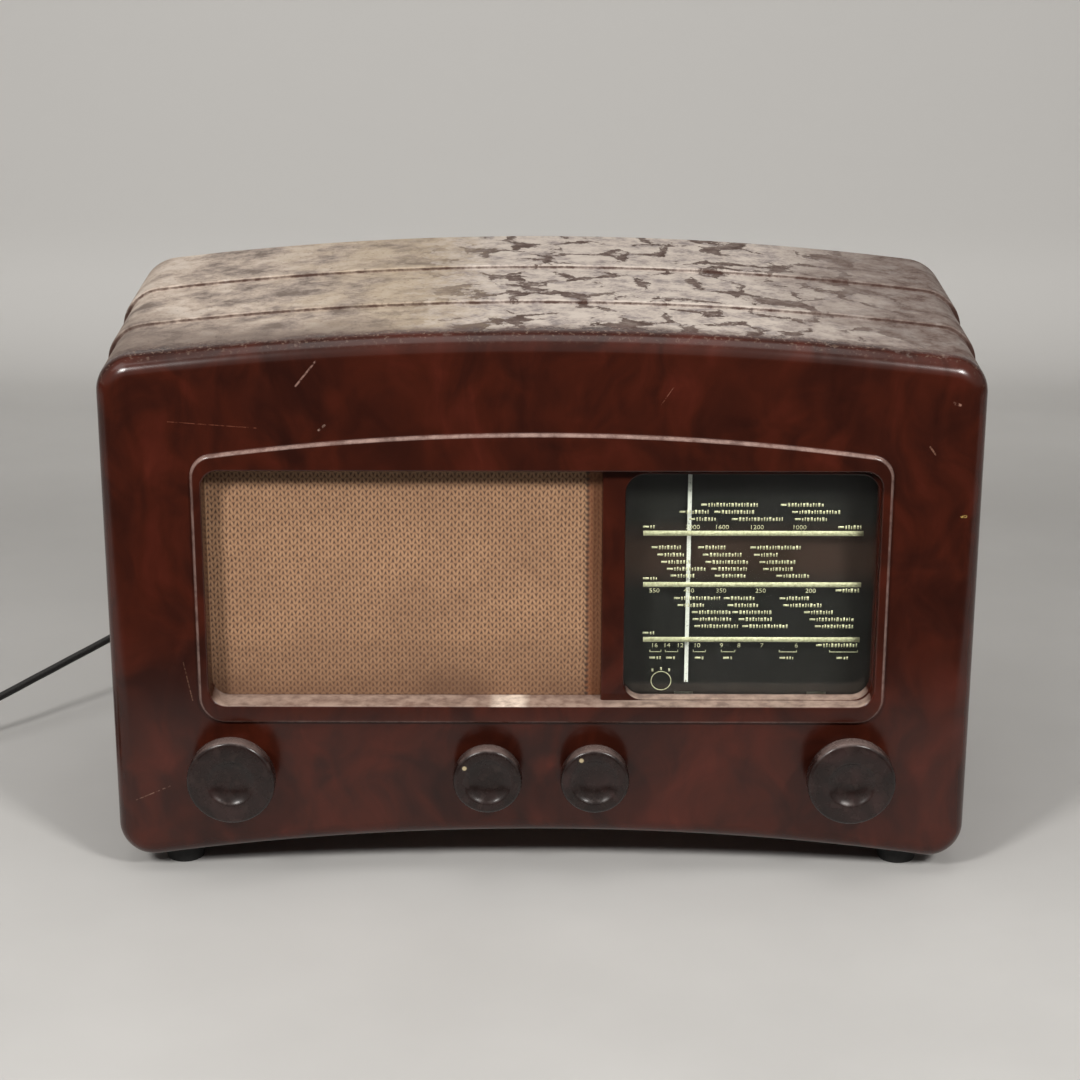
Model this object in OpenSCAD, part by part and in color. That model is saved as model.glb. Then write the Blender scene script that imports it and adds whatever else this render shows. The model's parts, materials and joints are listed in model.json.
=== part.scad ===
/* [Cabinet] */
// Width across the front band of the moulding
cab_w = 450; // [440:1:470]
// Depth of the moulding from its front face to its back rim
cab_d = 205; // [203:1:225]
// Height of the side walls up to the start of the crown
side_h = 277; // [272:1:300]
// Rise of the curved top at the middle
crown = 15; // [10:0.5:24]
// Thickness of the moulded walls
wall = 4.5; // [3.5:0.5:5.5]
// Radius of the two upper corners
corner_r = 19; // [15:0.5:26]
// Radius of the two lower corners
toe_r = 18.5; // [15:0.5:22]
// Rise of the curved lower edge at the middle
arch_rise = 18; // [12:0.5:20]
// Height of the ends of the lower edge above the table
lift = 6; // [4:0.5:8]
// Rounding of the front edge
edge_r = 10; // [6:0.5:12]
// Depth of the front band
band_1 = 63; // [55:1:75]
// Depth of the middle band
band_2 = 69; // [60:1:80]
// How far each band stands out past the one in front of it
step_out = 2.4; // [1:0.2:3]
// Height of the inner floor's underside above the ends of the lower edge
floor_up = 22; // [21:0.5:24]
// Thickness of the inner floor
floor_t = 4; // [3:0.5:5]

/* [Front opening] */
// Width of the opening that shows the cloth and the dial
open_w = 346; // [340:1:352]
// Height of the opening
open_h = 128; // [122:1:134]
// Height of the opening's lower edge above the ends of the lower edge
open_up = 93; // [90:0.5:96]
// Corner radius of the opening
open_r = 9; // [6:0.5:12]
// Width of the raised frame beside the opening
frame_side = 5.5; // [4:0.5:8]
// Height of the raised frame below the opening
frame_below = 10; // [8:0.5:12]
// Height of the raised frame above the opening, at the middle
frame_above = 20; // [18:0.5:24]
// Rise of the raised frame's curved top
frame_rise = 13; // [8:0.5:14]
// How far the raised frame stands out of the front face
frame_proud = 2.5; // [1.5:0.5:3.5]
// Depth from the front face to the cloth and the dial glass
recess_d = 13.5; // [11:0.5:14]
// Depth from the front face to the divider and the dial's border
panel_set = 6; // [4:0.5:8]
// Distance of the divider's left edge from the middle of the front
divider_x = 31; // [26:1:36]
// Width of the divider
divider_w = 12; // [10:0.5:14]
// Height of the dial's border above the dial opening
border_top = 4; // [3:0.5:6]
// Corner radius of the dial opening
dial_r = 10; // [6:0.5:14]

/* [Knobs] */
// Distance of the large knobs from the middle of the front
large_x = 161.5; // [155:0.5:165]
// Distance of the small knobs from the middle of the front
small_x = 28; // [26:0.5:34]
// Height of the knobs' axes above the ends of the lower edge
knob_up = 56.5; // [54:0.5:60]
// Radius of the large knobs
large_r = 23; // [20:0.5:26]
// Radius of the small knobs
small_r = 18; // [16:0.5:20]
// Reach of the large knobs out of the front face
large_reach = 20; // [18:0.5:24]
// Reach of the small knobs out of the front face
small_reach = 17.5; // [16:0.5:20]
// Length of a knob's grip
grip = 9; // [7:0.5:10]
// Radius of the dish in a large knob
large_dish = 12.3; // [9:0.1:15]
// Radius of the dish in a small knob
small_dish = 12.4; // [9:0.1:14]
// Radius of the control spindles
spindle_r = 3.175; // [3:0.005:3.2]

/* [Chassis] */
// Clearance between the chassis and the side walls
chassis_side = 14; // [12:0.5:18]
// Clearance between the chassis and the back cover
chassis_rear = 16.5; // [14:0.5:20]
// Height of the chassis
chassis_h = 50; // [46:1:54]
// Distance from the front face to the chassis
chassis_y = 42; // [42:0.5:44]
// Thickness of the chassis sheet
sheet = 1.5; // [1:0.1:2]
// Radius of the valve holes
valve_hole_r = 13.2; // [12.5:0.1:15]
// Bore radius of the sockets for leads
socket_r = 2.05; // [2:0.01:2.2]
// Length of the sockets for leads
socket_l = 14; // [10:0.5:16]
// Spacing of the two sockets of a pair
socket_pitch = 19; // [16:0.5:20]

/* [Loudspeaker] */
// Radius of the loudspeaker's frame
speaker_r = 65; // [62:0.5:66]
// Depth of the loudspeaker's frame
speaker_d = 39.5; // [36:0.5:44]
// Radius of the loudspeaker's magnet
magnet_r = 30; // [26:0.5:34]
// Length of the loudspeaker's magnet
magnet_l = 23; // [18:0.5:26]
// Thickness of the baffle board
board_t = 6; // [5:0.5:7]
// Thickness of the grille cloth
cloth_t = 0.8; // [0.5:0.1:1.2]

/* [Tuning] */
// Distance of the tuning capacitor's axis from the middle of the front
gang_x = 110; // [106:1:114]
// Height of the tuning capacitor's axis above the chassis
gang_up = 24; // [23:0.5:28]
// Radius at which the drive cord runs on the drum
drum_r = 36; // [34:0.5:38]
// Radius at which the drive cord runs on the tuning spindle
winding_r = 4; // [3.8:0.1:4.5]
// Radius at which the drive cord runs on a pulley
pulley_r = 6; // [5:0.5:6.5]
// Distance of the pointer from the middle of the front at rest
pointer_x = 76.5; // [60:0.5:150]
// Thickness of the dial glass
glass_t = 2.5; // [2:0.5:3]

/* [Back] */
// Thickness of the back cover
back_t = 3; // [2:0.5:4]
// Number of vents in each row of the back cover
vents = 9; // [5:1:10]
// Number of vent rows
vent_rows = 7; // [4:1:8]

/* [Feet and cord] */
// Height of a rubber foot
foot_h = 12; // [11.5:0.5:13]
// Radius of a rubber foot
foot_r = 11; // [9:0.5:12]
// Diameter of the mains cord
cord_d = 4.5; // [4.5:0.1:4.6]
// Inner radius of the coil, at the middle of the cord
coil_r = 20.5; // [20:0.5:22]

/* [Hidden] */
$fn = 48;

phenolic = "#4b1a12";
steel = "#9a9a96";
brass = "#b08d45";
black = "#1c1a19";
card = "#7a5a38";
fit = 0.05;
gap = 0.3;
play = 0.5;
far = 400;

// Everything inside placed() is measured from the front face, at y = 0, and from the table, at z = 0
front_y = (large_reach - cab_d) / 2;

half = cab_w / 2;
back_y = cab_d - back_t - 3.5;
floor_z = lift + floor_up;
floor_top = floor_z + floor_t;
chassis_top = floor_top + chassis_h;
chassis_w = cab_w - 2 * (wall + chassis_side);
chassis_back = back_y - chassis_rear;
chassis_d = chassis_back - chassis_y;
knob_z = lift + knob_up;

// Circles of the front view: the crown, the lower edge and the four corners
crown_r = (half * half + crown * crown) / (2 * crown);
crown_cz = lift + side_h + crown - crown_r;
top_cx = half - corner_r;
top_cz = crown_cz + sqrt(pow(crown_r - corner_r, 2) - top_cx * top_cx);
arch_r = (half * half + arch_rise * arch_rise) / (2 * arch_rise);
arch_cz = lift + arch_rise - arch_r;
toe_cx = half - toe_r;
toe_cz = arch_cz + sqrt(pow(arch_r + toe_r, 2) - toe_cx * toe_cx);

// The bands' depths and how far each one stands out
bands = [[0, 0], [band_1, step_out], [band_1 + band_2, 2 * step_out]];
back_grow = 2 * step_out;

// Front opening and raised frame
open_x = [-open_w / 2, open_w / 2];
open_z = [lift + open_up, lift + open_up + open_h];
frame_half = open_w / 2 + frame_side;
frame_z0 = open_z[0] - frame_below;
frame_toe_r = 14;
frame_corner_r = 12;
frame_top_r = (frame_half * frame_half + frame_rise * frame_rise) / (2 * frame_rise);
frame_top_cz = open_z[1] + frame_above - frame_top_r;
frame_cx = frame_half - frame_corner_r;
frame_cz = frame_top_cz + sqrt(pow(frame_top_r - frame_corner_r, 2) - frame_cx * frame_cx);
reveal_t = 4;
dial_lip = 0.6;
dial_x = [divider_x + divider_w, open_x[1] - dial_lip];
dial_z = [open_z[0] + dial_lip, open_z[1] - border_top];

// Grille side: cloth, baffle board and loudspeaker
board_x = [open_x[0] - 12, divider_x + 5];
board_z = [open_z[0] - 19, open_z[1] + 18];
board_y = recess_d + cloth_t;
board_back = board_y + board_t;
baffle_posts = [for (x = [board_x[0] + 20, board_x[1] - 16], z = [board_z[0] + 8, board_z[1] - 8]) [x, z]];
speaker_x = (open_x[0] + divider_x) / 2;
speaker_z = (open_z[0] + open_z[1]) / 2;
speaker_bolt_r = speaker_r - 4.5;
basket_r = speaker_r - 9.5;
basket_t = 1.5;
flange_t = 1.5;
magnet_y = board_back + speaker_d;

// Dial side: glass, clips, plate and lamps
glass_x = [divider_x + 7.5, open_x[1] + 4];
glass_z = [open_z[0] - 3.5, open_z[1] + 3.5];
glass_back = recess_d + glass_t;
clip_posts = [for (x = [75, 145], s = [0, 1]) [x, s == 0 ? glass_z[0] - 7.5 : glass_z[1] + 7.5, s]];
plate_y = 24;
plate_t = 1;
plate_x = [28, 192];
plate_z = [chassis_top + 6, open_z[1] + 3];
lamp_z = plate_z[1] + 24;
lamp_set = 7;
lamp_y = plate_y - lamp_set;

// Tuning drive, all in one plane behind the dial plate
cord_y = 33;
drive_r = 0.5;
gang_z = chassis_top + gang_up;
pulley_z = plate_z[1] - 12;
pulley_x = [36, 182];
run_z = pulley_z + pulley_r;
drum = [gang_x, gang_z];
winder = [large_x, knob_z];
shaft_r = 3;
gang_y = [chassis_y + 4, chassis_y + 62];
rotor_r = 20;
rotor_angle = -38;
plate_pitch = 2.4;
vane_t = 0.7;
rotor_vanes = 7;
stacks = [gang_y[0] + 6, gang_y[0] + 32];

// Places of the parts that stand on the chassis, from the middle of its front edge
back_row = chassis_d - 27;
valve_x = [165, 98, 18, -28, -72];
valve_y = [back_row - 38, back_row, back_row, back_row, back_row];
can_x = [58, 132];
can_y = back_row;
mains_x = -142;
mains_y = chassis_d - 38;
output_x = -155;
output_y = chassis_d * 0.31;
smoothing_x = -5;
smoothing_y = chassis_d * 0.47;
holder_up = 4;

// Back cover and its lugs
back_inset = 0.6;
inner_half = half + back_grow - wall;
lug_z = [70, 235];
lug_x = 120;
socket_x = [30, 71];
socket_z = knob_z - 5.5;
screw_r = 1.75;

// Feet and bolts under the floor
foot_x = half - 32;
foot_y = [26, cab_d - 25];
post_r = 13;
bolt_x = chassis_w / 2 - 40;
bolt_y = [chassis_y + 8, chassis_back - 8];
hatch_x = 140;
hatch_y = [chassis_y + 24, chassis_back - 24];

// Mains cord: its route from the grommet down to the coil, and the short tail to the plug
cord_route = [
    [-192, 137, 56], [-192, 142, 56], [-193.5, 151.5, 56], [-198.5, 159.5, 55.5], [-206, 166, 55],
    [-214.5, 169, 54.5], [-224.5, 169, 53.5], [-233, 166, 52], [-240, 160.5, 50.5], [-248, 153.5, 49],
    [-256, 146.5, 47.5], [-265, 138.5, 45], [-275, 129.5, 42], [-285, 121, 39], [-295, 112, 36],
    [-305, 103.5, 33], [-315, 94.5, 30], [-324, 86.5, 27.5], [-335, 77.5, 25], [-346, 68.5, 23],
    [-357, 60, 22], [-368, 51.5, 21], [-378, 43.5, 20.5]];
tail_route = [
    [-397.5, -3, 3.5], [-398, -13, 4], [-397.5, -23, 5], [-396, -33, 6.5], [-393.5, -42, 8.5],
    [-391, -49, 10], [-390, -56, 10], [-390, -60, 10]];
coil_at = [-366, 12];
coil_turns = 9.125;
coil_start = 180;
layers = 4;
tie_t = 1;
coil_pitch = cord_d + 1.2;
layer_turns = (coil_turns - 0.5 * (layers - 1)) / layers;
coil_out = coil_r + layer_turns * coil_pitch;
coil_z = tie_t + gap + cord_d / 2;
coil_steps = 219;

function arc(cx, cz, r, a0, a1, n, last = true) =
    [for (i = [0:last ? n : n - 1]) let (a = a0 + (a1 - a0) * i / n) [cx + r * cos(a), cz + r * sin(a)]];

// Front view of the moulding, grown by g all round, counter-clockwise from the right toe
function outline(g) =
    let (a = atan2(toe_cz - arch_cz, toe_cx), b = atan2(top_cz - crown_cz, top_cx))
    concat(
        arc(toe_cx, toe_cz, toe_r + g, a - 180, 0, 8),
        arc(top_cx, top_cz, corner_r + g, 0, b, 8, false),
        arc(0, crown_cz, crown_r + g, b, 180 - b, 28, false),
        arc(-top_cx, top_cz, corner_r + g, 180 - b, 180, 8),
        arc(-toe_cx, toe_cz, toe_r + g, 180, 360 - a, 8, false),
        arc(0, arch_cz, arch_r - g, 180 - a, a, 24, false));

// The same view above the height z, for the hollow and the back cover
function upper_outline(g, z) =
    let (b = atan2(top_cz - crown_cz, top_cx))
    concat(
        [[half + g, z]],
        arc(top_cx, top_cz, corner_r + g, 0, b, 8, false),
        arc(0, crown_cz, crown_r + g, b, 180 - b, 28, false),
        arc(-top_cx, top_cz, corner_r + g, 180 - b, 180, 8),
        [[-half - g, z]]);

// The open space under the floor, between the skirts
function lower_outline() =
    concat(
        [[toe_cx, -far]], arc(toe_cx, toe_cz, toe_r - wall, -90, 0, 8), [[half - wall, floor_z]],
        [[wall - half, floor_z]], arc(-toe_cx, toe_cz, toe_r - wall, 180, 270, 8), [[-toe_cx, -far]]);

// Raised frame round the opening, grown by g
function frame_outline(g) =
    let (b = atan2(frame_cz - frame_top_cz, frame_cx), x = frame_half - frame_toe_r)
    concat(
        arc(x, frame_z0 + frame_toe_r, frame_toe_r + g, -90, 0, 6),
        arc(frame_cx, frame_cz, frame_corner_r + g, 0, b, 6, false),
        arc(0, frame_top_cz, frame_top_r + g, b, 180 - b, 24, false),
        arc(-frame_cx, frame_cz, frame_corner_r + g, 180 - b, 180, 6),
        arc(-x, frame_z0 + frame_toe_r, frame_toe_r + g, 180, 270, 6));

function at_depth(y, points) = [for (p = points) [p[0], y, p[1]]];
function unit(v) = v / norm(v);
function tangent(p, i) = unit(p[min(i + 1, len(p) - 1)] - p[max(i - 1, 0)]);

// Rings of a tube of radius r with n sides along the points p; up is never along the tube
function tube_rings(p, r, n, up) =
    [for (i = [0:len(p) - 1])
        let (t = tangent(p, i), s = unit(cross(t, up)), w = cross(s, t))
        [for (j = [0:n - 1]) p[i] + r * (cos(360 * j / n) * s + sin(360 * j / n) * w)]];

// Coil of cord: s counts its turns from the bottom outer end to the top outer end
function ease(v) = (1 - cos(180 * v)) / 2;
function coil_point(s) =
    let (
        stage = layer_turns + 0.5,
        k = min(floor(s / stage), layers - 1),
        u = s - k * stage,
        inward = min(u / layer_turns, 1) * (coil_out - coil_r),
        r = k % 2 == 0 ? coil_out - inward : coil_r + inward,
        z = coil_z + coil_pitch * (k + (u > layer_turns ? ease((u - layer_turns) / 0.5) : 0)),
        a = coil_start - 360 * s)
    [coil_at[0] + r * cos(a), coil_at[1] + r * sin(a), z];
function coil_heading(s) = let (a = coil_start - 360 * s) [sin(a), -cos(a), 0];
coil_curve = [for (i = [0:coil_steps]) coil_point(coil_turns * min(i / coil_steps, 0.99999))];
coil_path = concat(
    [coil_curve[0] - cord_d * coil_heading(0)], coil_curve,
    [coil_curve[coil_steps] + cord_d * coil_heading(coil_turns)]);
half_turn = ceil(coil_steps / coil_turns / 2);
coil_least = min([for (i = [0:coil_steps - half_turn]) for (j = [i + half_turn:coil_steps])
    norm(coil_curve[i] - coil_curve[j])]) - cord_d;
echo(least_gap_between_the_turns_of_the_coil = coil_least);

// Angle at which a cord that runs clockwise leaves circle a for circle b
function leave(a, ra, b, rb) = atan2(b[1] - a[1], b[0] - a[0]) + acos((ra - rb) / norm(b - a));
function wrap(c, r, a0, a1, y0, y1, n) =
    [for (i = [0:n]) let (a = a0 + (a1 - a0) * i / n)
        [c[0] + r * cos(a), y0 + (y1 - y0) * i / n, c[1] + r * sin(a)]];
pulley_l = [pulley_x[0], pulley_z];
pulley_rt = [pulley_x[1], pulley_z];
to_left = leave(drum, drum_r, pulley_l, pulley_r);
to_winder = leave(pulley_rt, pulley_r, winder, winding_r);
to_drum = leave(winder, winding_r, drum, drum_r);
notch = 25;
drive_path = concat(
    wrap(drum, drum_r, notch + 355, to_left, cord_y - 0.8, cord_y - 0.8, 18),
    wrap(pulley_l, pulley_r, to_left, 90, cord_y, cord_y, 6),
    wrap(pulley_rt, pulley_r, 90, to_winder, cord_y, cord_y, 6),
    wrap(winder, winding_r, to_winder, to_drum - 720, cord_y - 0.9, cord_y + 1.1, 24),
    wrap(drum, drum_r, to_drum, notch + 5, cord_y + 0.8, cord_y + 0.8, 24));

module placed() { translate([0, front_y, 0]) children(); }

module span(x, y, z) {
    translate([x[0], y[0], z[0]]) cube([x[1] - x[0], y[1] - y[0], z[1] - z[0]]);
}

// Cylinder along y at the place x, z
module rod(x, z, y, r) {
    translate([x, y[0], z]) rotate([-90, 0, 0]) cylinder(h = y[1] - y[0], r = r);
}

module taper(x, z, y, r1, r2) {
    translate([x, y[0], z]) rotate([-90, 0, 0]) cylinder(h = y[1] - y[0], r1 = r1, r2 = r2);
}

module post(x, y, z, r) {
    translate([x, y, z[0]]) cylinder(h = z[1] - z[0], r = r);
}

// Front-view shape cut to the depths y
module slab(y) {
    translate([0, y[1], 0]) rotate([90, 0, 0]) linear_extrude(y[1] - y[0]) children();
}

module turned(x, z, y) {
    translate([x, y, z]) rotate([-90, 0, 0]) rotate_extrude() children();
}

module round_rect(x, z, r) {
    translate([x[0] + r, z[0]]) square([x[1] - x[0] - 2 * r, z[1] - z[0]]);
    translate([x[0], z[0] + r]) square([x[1] - x[0], z[1] - z[0] - 2 * r]);
    for (px = [x[0] + r, x[1] - r], pz = [z[0] + r, z[1] - r]) translate([px, pz]) circle(r);
}

// Solid skin through rings of equal length
module loft(rings) {
    n = len(rings[0]);
    m = len(rings);
    polyhedron(
        points = [for (ring = rings) each ring],
        faces = concat(
            [[for (j = [n - 1:-1:0]) j]],
            [for (i = [0:m - 2], j = [0:n - 1])
                let (a = i * n + j, b = i * n + (j + 1) % n) each [[a, b, b + n], [a, b + n, a + n]]],
            [[for (j = [0:n - 1]) (m - 1) * n + j]]));
}

module grown(x, z, by) { round_rect([x[0] - by, x[1] + by], [z[0] - by, z[1] + by], open_r + by); }

module moulding_block() {
    rounding = [for (k = [0:6]) let (t = 15 * k)
        at_depth(edge_r * (1 - cos(t)), outline(-edge_r * (1 - sin(t))))];
    loft(concat(rounding, [
        at_depth(band_1, outline(0)), at_depth(band_1, outline(step_out)),
        at_depth(band_1 + band_2, outline(step_out)), at_depth(band_1 + band_2, outline(back_grow)),
        at_depth(cab_d, outline(back_grow))]));
}

module cabinet_hollow() {
    ends = [band_1 + wall, band_1 + band_2 + wall, cab_d + 1];
    starts = [wall, band_1 + wall, band_1 + band_2 + wall];
    for (i = [0:2]) slab([starts[i], ends[i]]) polygon(upper_outline(bands[i][1] - wall, floor_top));
    slab([wall, cab_d - wall]) polygon(lower_outline());
}

module raised_frame() {
    loft([for (k = [0:3]) let (t = 30 * (3 - k))
        at_depth(-frame_proud * sin(t), frame_outline(-frame_proud * (1 - cos(t))))]);
    slab([-0.01, 1]) polygon(frame_outline(0));
}

module dial_border() {
    slab([panel_set, recess_d]) difference() {
        translate([divider_x, open_z[0] - 1]) square([open_x[1] - divider_x + 1, open_h + 2]);
        round_rect(dial_x, dial_z, dial_r);
    }
}

module back_lugs() {
    for (s = [-1, 1]) {
        for (z = lug_z) {
            span(s < 0 ? [-inner_half - 1, 14 - inner_half] : [inner_half - 14, inner_half + 1],
                [back_y - 12, back_y], [z - 7, z + 7]);
        }
        slab([back_y - 12, back_y]) intersection() {
            translate([s * lug_x - 7, lug_top() - 7]) square([14, 60]);
            polygon(upper_outline(back_grow - wall + 1, floor_top));
        }
    }
}

function lug_top() = crown_cz + sqrt(pow(crown_r + back_grow - wall, 2) - lug_x * lug_x) - 8;
lugs = concat(
    [for (s = [-1, 1], z = lug_z) [s * (inner_half - 7), z]], [for (s = [-1, 1]) [s * lug_x, lug_top()]]);

module cabinet() {
    color(phenolic) placed() difference() {
        union() {
            difference() {
                moulding_block();
                cabinet_hollow();
            }
            raised_frame();
            slab([wall - 1, recess_d]) grown(open_x, open_z, reveal_t);
            for (p = baffle_posts) rod(p[0], p[1], [wall - 1, board_y], 5);
            for (p = clip_posts) rod(p[0], p[1], [wall - 1, glass_back], 4);
            for (x = [-foot_x, foot_x], y = foot_y) post(x, y, [foot_h, floor_z + 1], post_r);
            back_lugs();
        }
        difference() {
            slab([-far, recess_d + 1]) round_rect(open_x, open_z, open_r);
            dial_border();
        }
        for (x = [-large_x, -small_x, small_x, large_x]) rod(x, knob_z, [-far, 2 * wall], 6);
        for (p = baffle_posts) rod(p[0], p[1], [6, board_y + 1], screw_r + 0.1);
        for (p = clip_posts) rod(p[0], p[1], [6, glass_back + 1], 1.4);
        for (x = [-foot_x, foot_x], y = foot_y) post(x, y, [foot_h - 1, floor_top + 1], 4.1);
        for (x = [-bolt_x, bolt_x], y = bolt_y) post(x, y, [floor_z - 1, floor_top + 1], 2.8);
        for (p = lugs) rod(p[0], p[1], [back_y - 10, back_y + 1], screw_r + 0.1);
        span([-hatch_x, hatch_x], hatch_y, [floor_z - 1, floor_top + 1]);
        for (x = [-hatch_x - 5, hatch_x + 5], y = [hatch_y[0] - 5, hatch_y[1] + 5]) {
            post(x, y, [floor_z - 1, floor_top + 1], screw_r + 0.1);
        }
    }
}

module bottom_cover() {
    color(card) placed() difference() {
        span([-hatch_x - 10, hatch_x + 10], [hatch_y[0] - 10, hatch_y[1] + 10], [floor_z - 3, floor_z]);
        for (x = [-hatch_x - 5, hatch_x + 5], y = [hatch_y[0] - 5, hatch_y[1] + 5]) {
            post(x, y, [floor_z - 4, floor_z + 1], screw_r + 0.4);
        }
        for (i = [0:9], k = [-1:1]) {
            y = (hatch_y[0] + hatch_y[1]) / 2 + k * (hatch_y[1] - hatch_y[0] - 38) / 2;
            span([i * 26 - 127, i * 26 - 107], [y - 2, y + 2], [0, floor_z + 1]);
        }
    }
}

module bottom_screws() {
    color(steel) placed() for (x = [-hatch_x - 5, hatch_x + 5], y = [hatch_y[0] - 5, hatch_y[1] + 5]) {
        post(x, y, [floor_z - 5, floor_z - 3], 3.4);
        post(x, y, [floor_z - 4, floor_top - 0.5], screw_r);
    }
}

module vent(x, z) {
    for (s = [-1, 1]) rod(x + 12 * s, z, [0, far], 2.5);
    span([x - 12, x + 12], [0, far], [z - 2.5, z + 2.5]);
}

module back_cover() {
    rows = [for (i = [0:vent_rows - 1]) 118 + i * 22];
    color(card) placed() difference() {
        slab([back_y, back_y + back_t])
            polygon(upper_outline(back_grow - wall - back_inset, floor_top + back_inset));
        for (z = rows, i = [0:vents - 1]) vent((i - (vents - 1) / 2) * 40, z);
        for (p = lugs) rod(p[0], p[1], [0, far], screw_r + 0.4);
        rod(cord_route[0][0], cord_route[0][2], [0, far], 8);
        span([socket_x[0] - 12, socket_x[1] + socket_pitch + 12], [0, far], [socket_z - 14, socket_z + 14]);
    }
}

module back_screws() {
    color(steel) placed() for (p = lugs) {
        rod(p[0], p[1], [back_y - 8, back_y + back_t + 1], screw_r);
        rod(p[0], p[1], [back_y + back_t, back_y + back_t + 2], 3.6);
    }
}

module feet() {
    color(black) placed() for (x = [-foot_x, foot_x], y = foot_y) {
        translate([x, y, 0]) cylinder(h = foot_h, r1 = foot_r - 1, r2 = foot_r);
        post(x, y, [foot_h - 1, floor_top - 1], 3.9);
    }
}

module felt_washers() {
    color("#5a4a3a") placed() for (s = [-1, 1]) {
        difference() {
            rod(s * large_x, knob_z, [-1.2, 0], 13);
            rod(s * large_x, knob_z, [-2, 1], 6);
        }
        difference() {
            rod(s * small_x, knob_z, [-1.2, 0], 10);
            rod(s * small_x, knob_z, [-2, 1], 6);
        }
    }
}

module chassis_bolts() {
    color(steel) placed() for (x = [-bolt_x, bolt_x], y = bolt_y) {
        post(x, y, [floor_z - 3.5, floor_z], 5);
        post(x, y, [floor_z - 1, floor_top + sheet + 7], 2.5);
        post(x, y, [floor_top + sheet, floor_top + sheet + 4], 4.5);
    }
}

module grille_cloth() {
    color("#c9a368") placed()
        span([open_x[0] - 8, board_x[1]], [recess_d, board_y], [open_z[0] - 3.5, open_z[1] + 3.5]);
}

module baffle_board() {
    color("#8a6b45") placed() difference() {
        span(board_x, [board_y, board_back], board_z);
        rod(speaker_x, speaker_z, [0, far], basket_r - 3);
        for (p = baffle_posts) rod(p[0], p[1], [0, far], screw_r + 0.4);
        for (a = [45:90:315]) {
            rod(speaker_x + speaker_bolt_r * cos(a), speaker_z + speaker_bolt_r * sin(a), [0, far], 2.2);
            rod(speaker_x + speaker_bolt_r * cos(a), speaker_z + speaker_bolt_r * sin(a), [0, board_y + 2.2], 4);
        }
    }
}

module baffle_screws() {
    color(steel) placed() {
        for (p = baffle_posts) {
            rod(p[0], p[1], [8, board_back + 1], screw_r);
            rod(p[0], p[1], [board_back, board_back + 2], 3.6);
        }
        for (a = [45:90:315]) {
            x = speaker_x + speaker_bolt_r * cos(a);
            z = speaker_z + speaker_bolt_r * sin(a);
            rod(x, z, [board_y + 0.2, board_y + 2.2], 3.7);
            rod(x, z, [board_y + 1, board_back + flange_t + 5], 2);
            rod(x, z, [board_back + flange_t, board_back + flange_t + 3], 3.4);
        }
    }
}

module speaker_frame() {
    y = board_back;
    color("#3b3d3c") placed() difference() {
        turned(speaker_x, speaker_z, y) polygon([
            [basket_r - 3, 0], [speaker_r, 0], [speaker_r, flange_t], [basket_r, flange_t],
            [magnet_r, speaker_d - basket_t], [magnet_r, speaker_d], [14, speaker_d],
            [14, speaker_d - basket_t], [magnet_r - basket_t, speaker_d - basket_t],
            [basket_r - basket_t, flange_t + 1.5], [basket_r - basket_t, flange_t], [basket_r - 3, flange_t]]);
        for (a = [0:45:135]) translate([speaker_x, y + 6, speaker_z]) rotate([0, a, 0])
            translate([-speaker_r - 1, 0, -9]) cube([2 * speaker_r + 2, speaker_d - 15, 18]);
        for (a = [45:90:315]) {
            rod(speaker_x + speaker_bolt_r * cos(a), speaker_z + speaker_bolt_r * sin(a), [0, far], 2.2);
        }
    }
}

module speaker_cone() {
    rim = basket_r - basket_t - gap;
    y = board_back + flange_t;
    deep = speaker_d - 12;
    color("#2a2725") placed() turned(speaker_x, speaker_z, y) polygon([
        [rim, 0], [rim, 1], [rim - 3, 1.4], [rim - 6, 1], [13, deep], [12.8, deep + 11], [12.2, deep + 11],
        [12.2, deep - 2], [8, deep - 4.4], [0, deep - 5.5], [0, deep - 6.3], [8.5, deep - 5.2],
        [12.4, deep - 3], [rim - 6.6, 0]]);
}

module speaker_magnet() {
    color("#6d6c69") placed() turned(speaker_x, speaker_z, magnet_y) polygon([
        [14, 0], [magnet_r, 0], [magnet_r, 3], [magnet_r - 1.5, 3], [magnet_r - 1.5, magnet_l - 3],
        [magnet_r, magnet_l - 3], [magnet_r, magnet_l], [0, magnet_l], [0, 0.5], [11.5, 0.5],
        [11.5, magnet_l - 3], [18, magnet_l - 3], [18, 3], [14, 3]]);
}

module chassis() {
    color(steel) placed() difference() {
        span([-chassis_w / 2, chassis_w / 2], [chassis_y, chassis_back], [floor_top, chassis_top]);
        span([sheet - chassis_w / 2, chassis_w / 2 - sheet],
            [chassis_y + sheet, chassis_back - sheet], [floor_top + sheet, chassis_top - sheet]);
        span([15 - chassis_w / 2, chassis_w / 2 - 15],
            [chassis_y + 15, chassis_back - 15], [0, floor_top + sheet + 1]);
        for (i = [0:4]) post(valve_x[i], chassis_y + valve_y[i], [chassis_top - 5, far], valve_hole_r);
        for (x = [-large_x, -small_x, small_x, large_x]) rod(x, knob_z, [0, chassis_y + 5], 5.2);
        for (x = [-bolt_x, bolt_x], y = bolt_y) post(x, y, [0, floor_top + 5], 2.8);
        rod(cord_route[0][0], cord_route[0][2], [chassis_back - 5, far], 6.2);
        span([socket_x[0] - 8, socket_x[1] + socket_pitch + 8], [chassis_back - 5, far],
            [socket_z - 8, socket_z + 8]);
    }
}

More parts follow.
